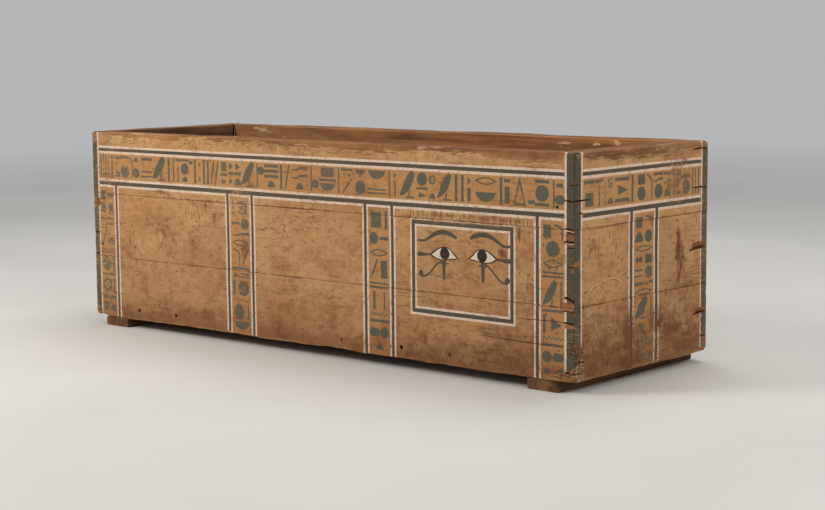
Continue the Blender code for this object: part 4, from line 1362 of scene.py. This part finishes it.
def build_peg(node, look):
    """A round peg with an uneven end."""
    low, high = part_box(node)
    middle, radius, length, sides = (low + high) / 2, (high.x - low.x) / 2, high.y - low.y, 28
    way = -1 if middle.y < 0 else 1
    outer = max(low.y * way, high.y * way)
    rings = [(0.0, 0.35), (0.0002, 0.72), (0.0006, 0.93), (0.0018, 1.0), (0.012, 1.0), (length * 0.5, 1.0),
             (length, 0.9)]
    points, faces = [(0.0, 0.0, 0.0)], []
    for depth, share in rings:
        for k in range(sides):
            t = 2 * math.pi * k / sides
            x, z = math.cos(t), math.sin(t)
            dent = float(soft_noise(np.array(x * 3 + middle.x * 9), np.array(z * 3), 3))
            r, lift = radius * share * (1 - 0.04 * dent), 0.0
            # Only the end's own face is uneven
            if depth < 0.001:
                lift = 0.0007 * float(rough(x * share * 2, z * share * 2 + middle.x, 5, 2))
            points.append((r * x, depth + abs(lift), r * z))
    points.append((0.0, length, 0.0))
    last = 1 + (len(rings) - 1) * sides
    for k in range(sides):
        n = (k + 1) % sides
        faces.append((0, 1 + k, 1 + n))
        for base in range(1, last, sides):
            over = base + sides
            faces.append((base + k, over + k, over + n, base + n))
        faces.append((last + k, len(points) - 1, last + n))
    mesh = bpy.data.meshes.new(node)
    placed = [(middle.x + way * x, way * (outer - depth), middle.z + z) for x, depth, z in points]
    mesh.from_pydata(placed, [], faces)
    grain = mesh.attributes.new("grain", "FLOAT_VECTOR", "POINT")
    along = np.array([(depth, x + middle.x, z) for x, depth, z in points], np.float32)
    grain.data.foreach_set("vector", along.ravel())
    piece = in_scene("shown_" + node, finished(mesh, [look], 40))
    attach(piece, "root")
    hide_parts(node)


# Bare woods: dark, middle and light tones, remains of ground and how rare they are, dust, and where painted
# light brightens it
INNER = ((94, 57, 31), (138, 91, 52), (160, 111, 66), (200, 164, 118), 0.655, 0.12)
BARE_LOOKS = {
    "inner_wood": INNER,
    "floor_wood": ((66, 40, 26), (104, 66, 42), (124, 84, 54), (176, 142, 104), 0.68, 0.45),
    "batten_wood_look": ((70, 43, 24), (114, 74, 43), (150, 103, 63), (190, 150, 106), 0.66, 0.12),
    "peg_wood_look": ((78, 46, 26), (120, 76, 44), (140, 92, 56), (180, 140, 100), 0.74, 0.10),
    # The back's lining is lighter towards the head end: painted light
    "inner_back_wood_painted_light": (*INNER, (20.85, 21.32)),
    # The foot end's lining is darker: painted shade, as that inner face gets little light
    "inner_foot_wood_painted_shade": ((62, 38, 22), (98, 63, 38), (122, 82, 50), (186, 150, 108), 0.675, 0.08),
}


def build_object():
    painted = painted_look()
    woods = {name: bare_look(name, *tones) for name, tones in BARE_LOOKS.items()}
    linings = {"foot_end": "inner_foot_wood_painted_shade", "back": "inner_back_wood_painted_light"}
    for wall in WALLS:
        for level in LEVELS:
            lining = woods[linings.get(wall, "inner_wood")]
            make_piece(wall_block(wall, level), (painted, lining))
    for number, name in enumerate(("front", "middle", "back")):
        block = Block(f"floor_board_{name}", X, Y, Z, 40.0 + 3 * number)
        make_piece(block, (woods["floor_wood"], woods["floor_wood"]))
    for number, end in enumerate(("head", "foot")):
        block = Block(f"batten_{end}", Y, -X, Z, 50.0 + 3 * number)
        block.back_radius = dict.fromkeys(("bottom", "top"), BATTEN_EDGE)
        make_piece(block, (woods["batten_wood_look"], woods["batten_wood_look"]))
    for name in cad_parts:
        if name.startswith("floor_peg"):
            build_peg(name, woods["peg_wood_look"])


# Setting: a pale floor, soft light and the photograph's viewpoint
def build_floor():
    mesh, reach = bpy.data.meshes.new("studio_floor"), 60.0
    corners = [(-reach, -reach, 0), (reach, -reach, 0), (reach, reach, 0), (-reach, reach, 0)]
    mesh.from_pydata(corners, [], [(0, 1, 2, 3)])
    mesh.update()
    floor = in_scene("studio_floor", mesh)
    look = Look("studio_floor_look")
    look.place = look.node("ShaderNodeTexCoord", output=3)
    colour = look.mix(look.ramp(look.noise(0.7, 4.0, 0.5), 0.3, 0.7), (214, 212, 208), (206, 204, 200))
    mesh.materials.append(look.finish(colour, 0.85, look.noise(60.0, 3.0), 0.0004))
    # Far off, the floor takes the background's own light, so no horizon shows
    glow = look.node("ShaderNodeEmission", {"Color": (*BACKDROP, 1.0), "Strength": BACKDROP_LIGHT})
    distance = look.node("ShaderNodeVectorMath", {0: look.place}, "Value", operation="LENGTH")
    far = look.ramp(distance, 4.0, 12.0)
    both = look.node("ShaderNodeMixShader", {0: far, 1: look.shader.outputs[0], 2: glow})
    look.give(look.tree.nodes["Material Output"].inputs["Surface"], both)
    floor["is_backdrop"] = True


def build_light():
    world = bpy.data.worlds.new("studio_light")
    bpy.context.scene.world = world
    world.use_nodes = True
    background = world.node_tree.nodes["Background"].inputs
    background["Color"].default_value, background["Strength"].default_value = (*BACKDROP, 1.0), BACKDROP_LIGHT
    for name, place, target, size, power, colour in (
            ("key", (-2.6, -3.9, 3.4), (-0.3, -0.3, 0.5), 2.2, 165.0, (1.0, 0.96, 0.90)),
            ("fill", (4.4, -0.4, 3.0), (0.9, 0.0, 0.6), 2.0, 62.0, (1.0, 0.95, 0.88)),
            ("over", (0.2, 1.6, 4.2), (0.0, 0.2, 0.4), 2.6, 60.0, (1.0, 0.98, 0.95))):
        light = bpy.data.lights.new(name, "AREA")
        light.shape, light.size, light.energy, light.color = "DISK", size, power, colour
        lamp = in_scene(name, light)
        lamp.location = place
        lamp.rotation_mode = "QUATERNION"
        lamp.rotation_quaternion = (Vector(target) - Vector(place)).to_track_quat("-Z", "Y")


def build_camera():
    """The viewpoint fitted to the photograph: its place, the way back from it, and its roll."""
    place, back, roll = (4.0042, -4.4013, 1.0159), Vector((0.65417754, -0.74648495, 0.12170443)), -0.009572671
    data = bpy.data.cameras.new("photo_view")
    data.lens, data.sensor_width, data.clip_start, data.clip_end = 78.861, 36.0, 0.1, 100.0
    camera = in_scene("photo_view", data)
    level = Vector((-back.y, back.x, 0)).normalized()
    up = back.cross(level)
    right = level * math.cos(roll) + up * math.sin(roll)
    tilted = up * math.cos(roll) - level * math.sin(roll)
    camera.matrix_world = Matrix.Translation(place) @ Matrix((right, tilted, back)).transposed().to_4x4()
    bpy.context.scene.camera = camera
    bpy.context.scene.view_settings.view_transform = "Standard"


build_object()
build_floor()
build_light()
build_camera()
sizes = [[list(corner) for corner in pair] for pair in (FIRST_BOUNDS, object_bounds())]
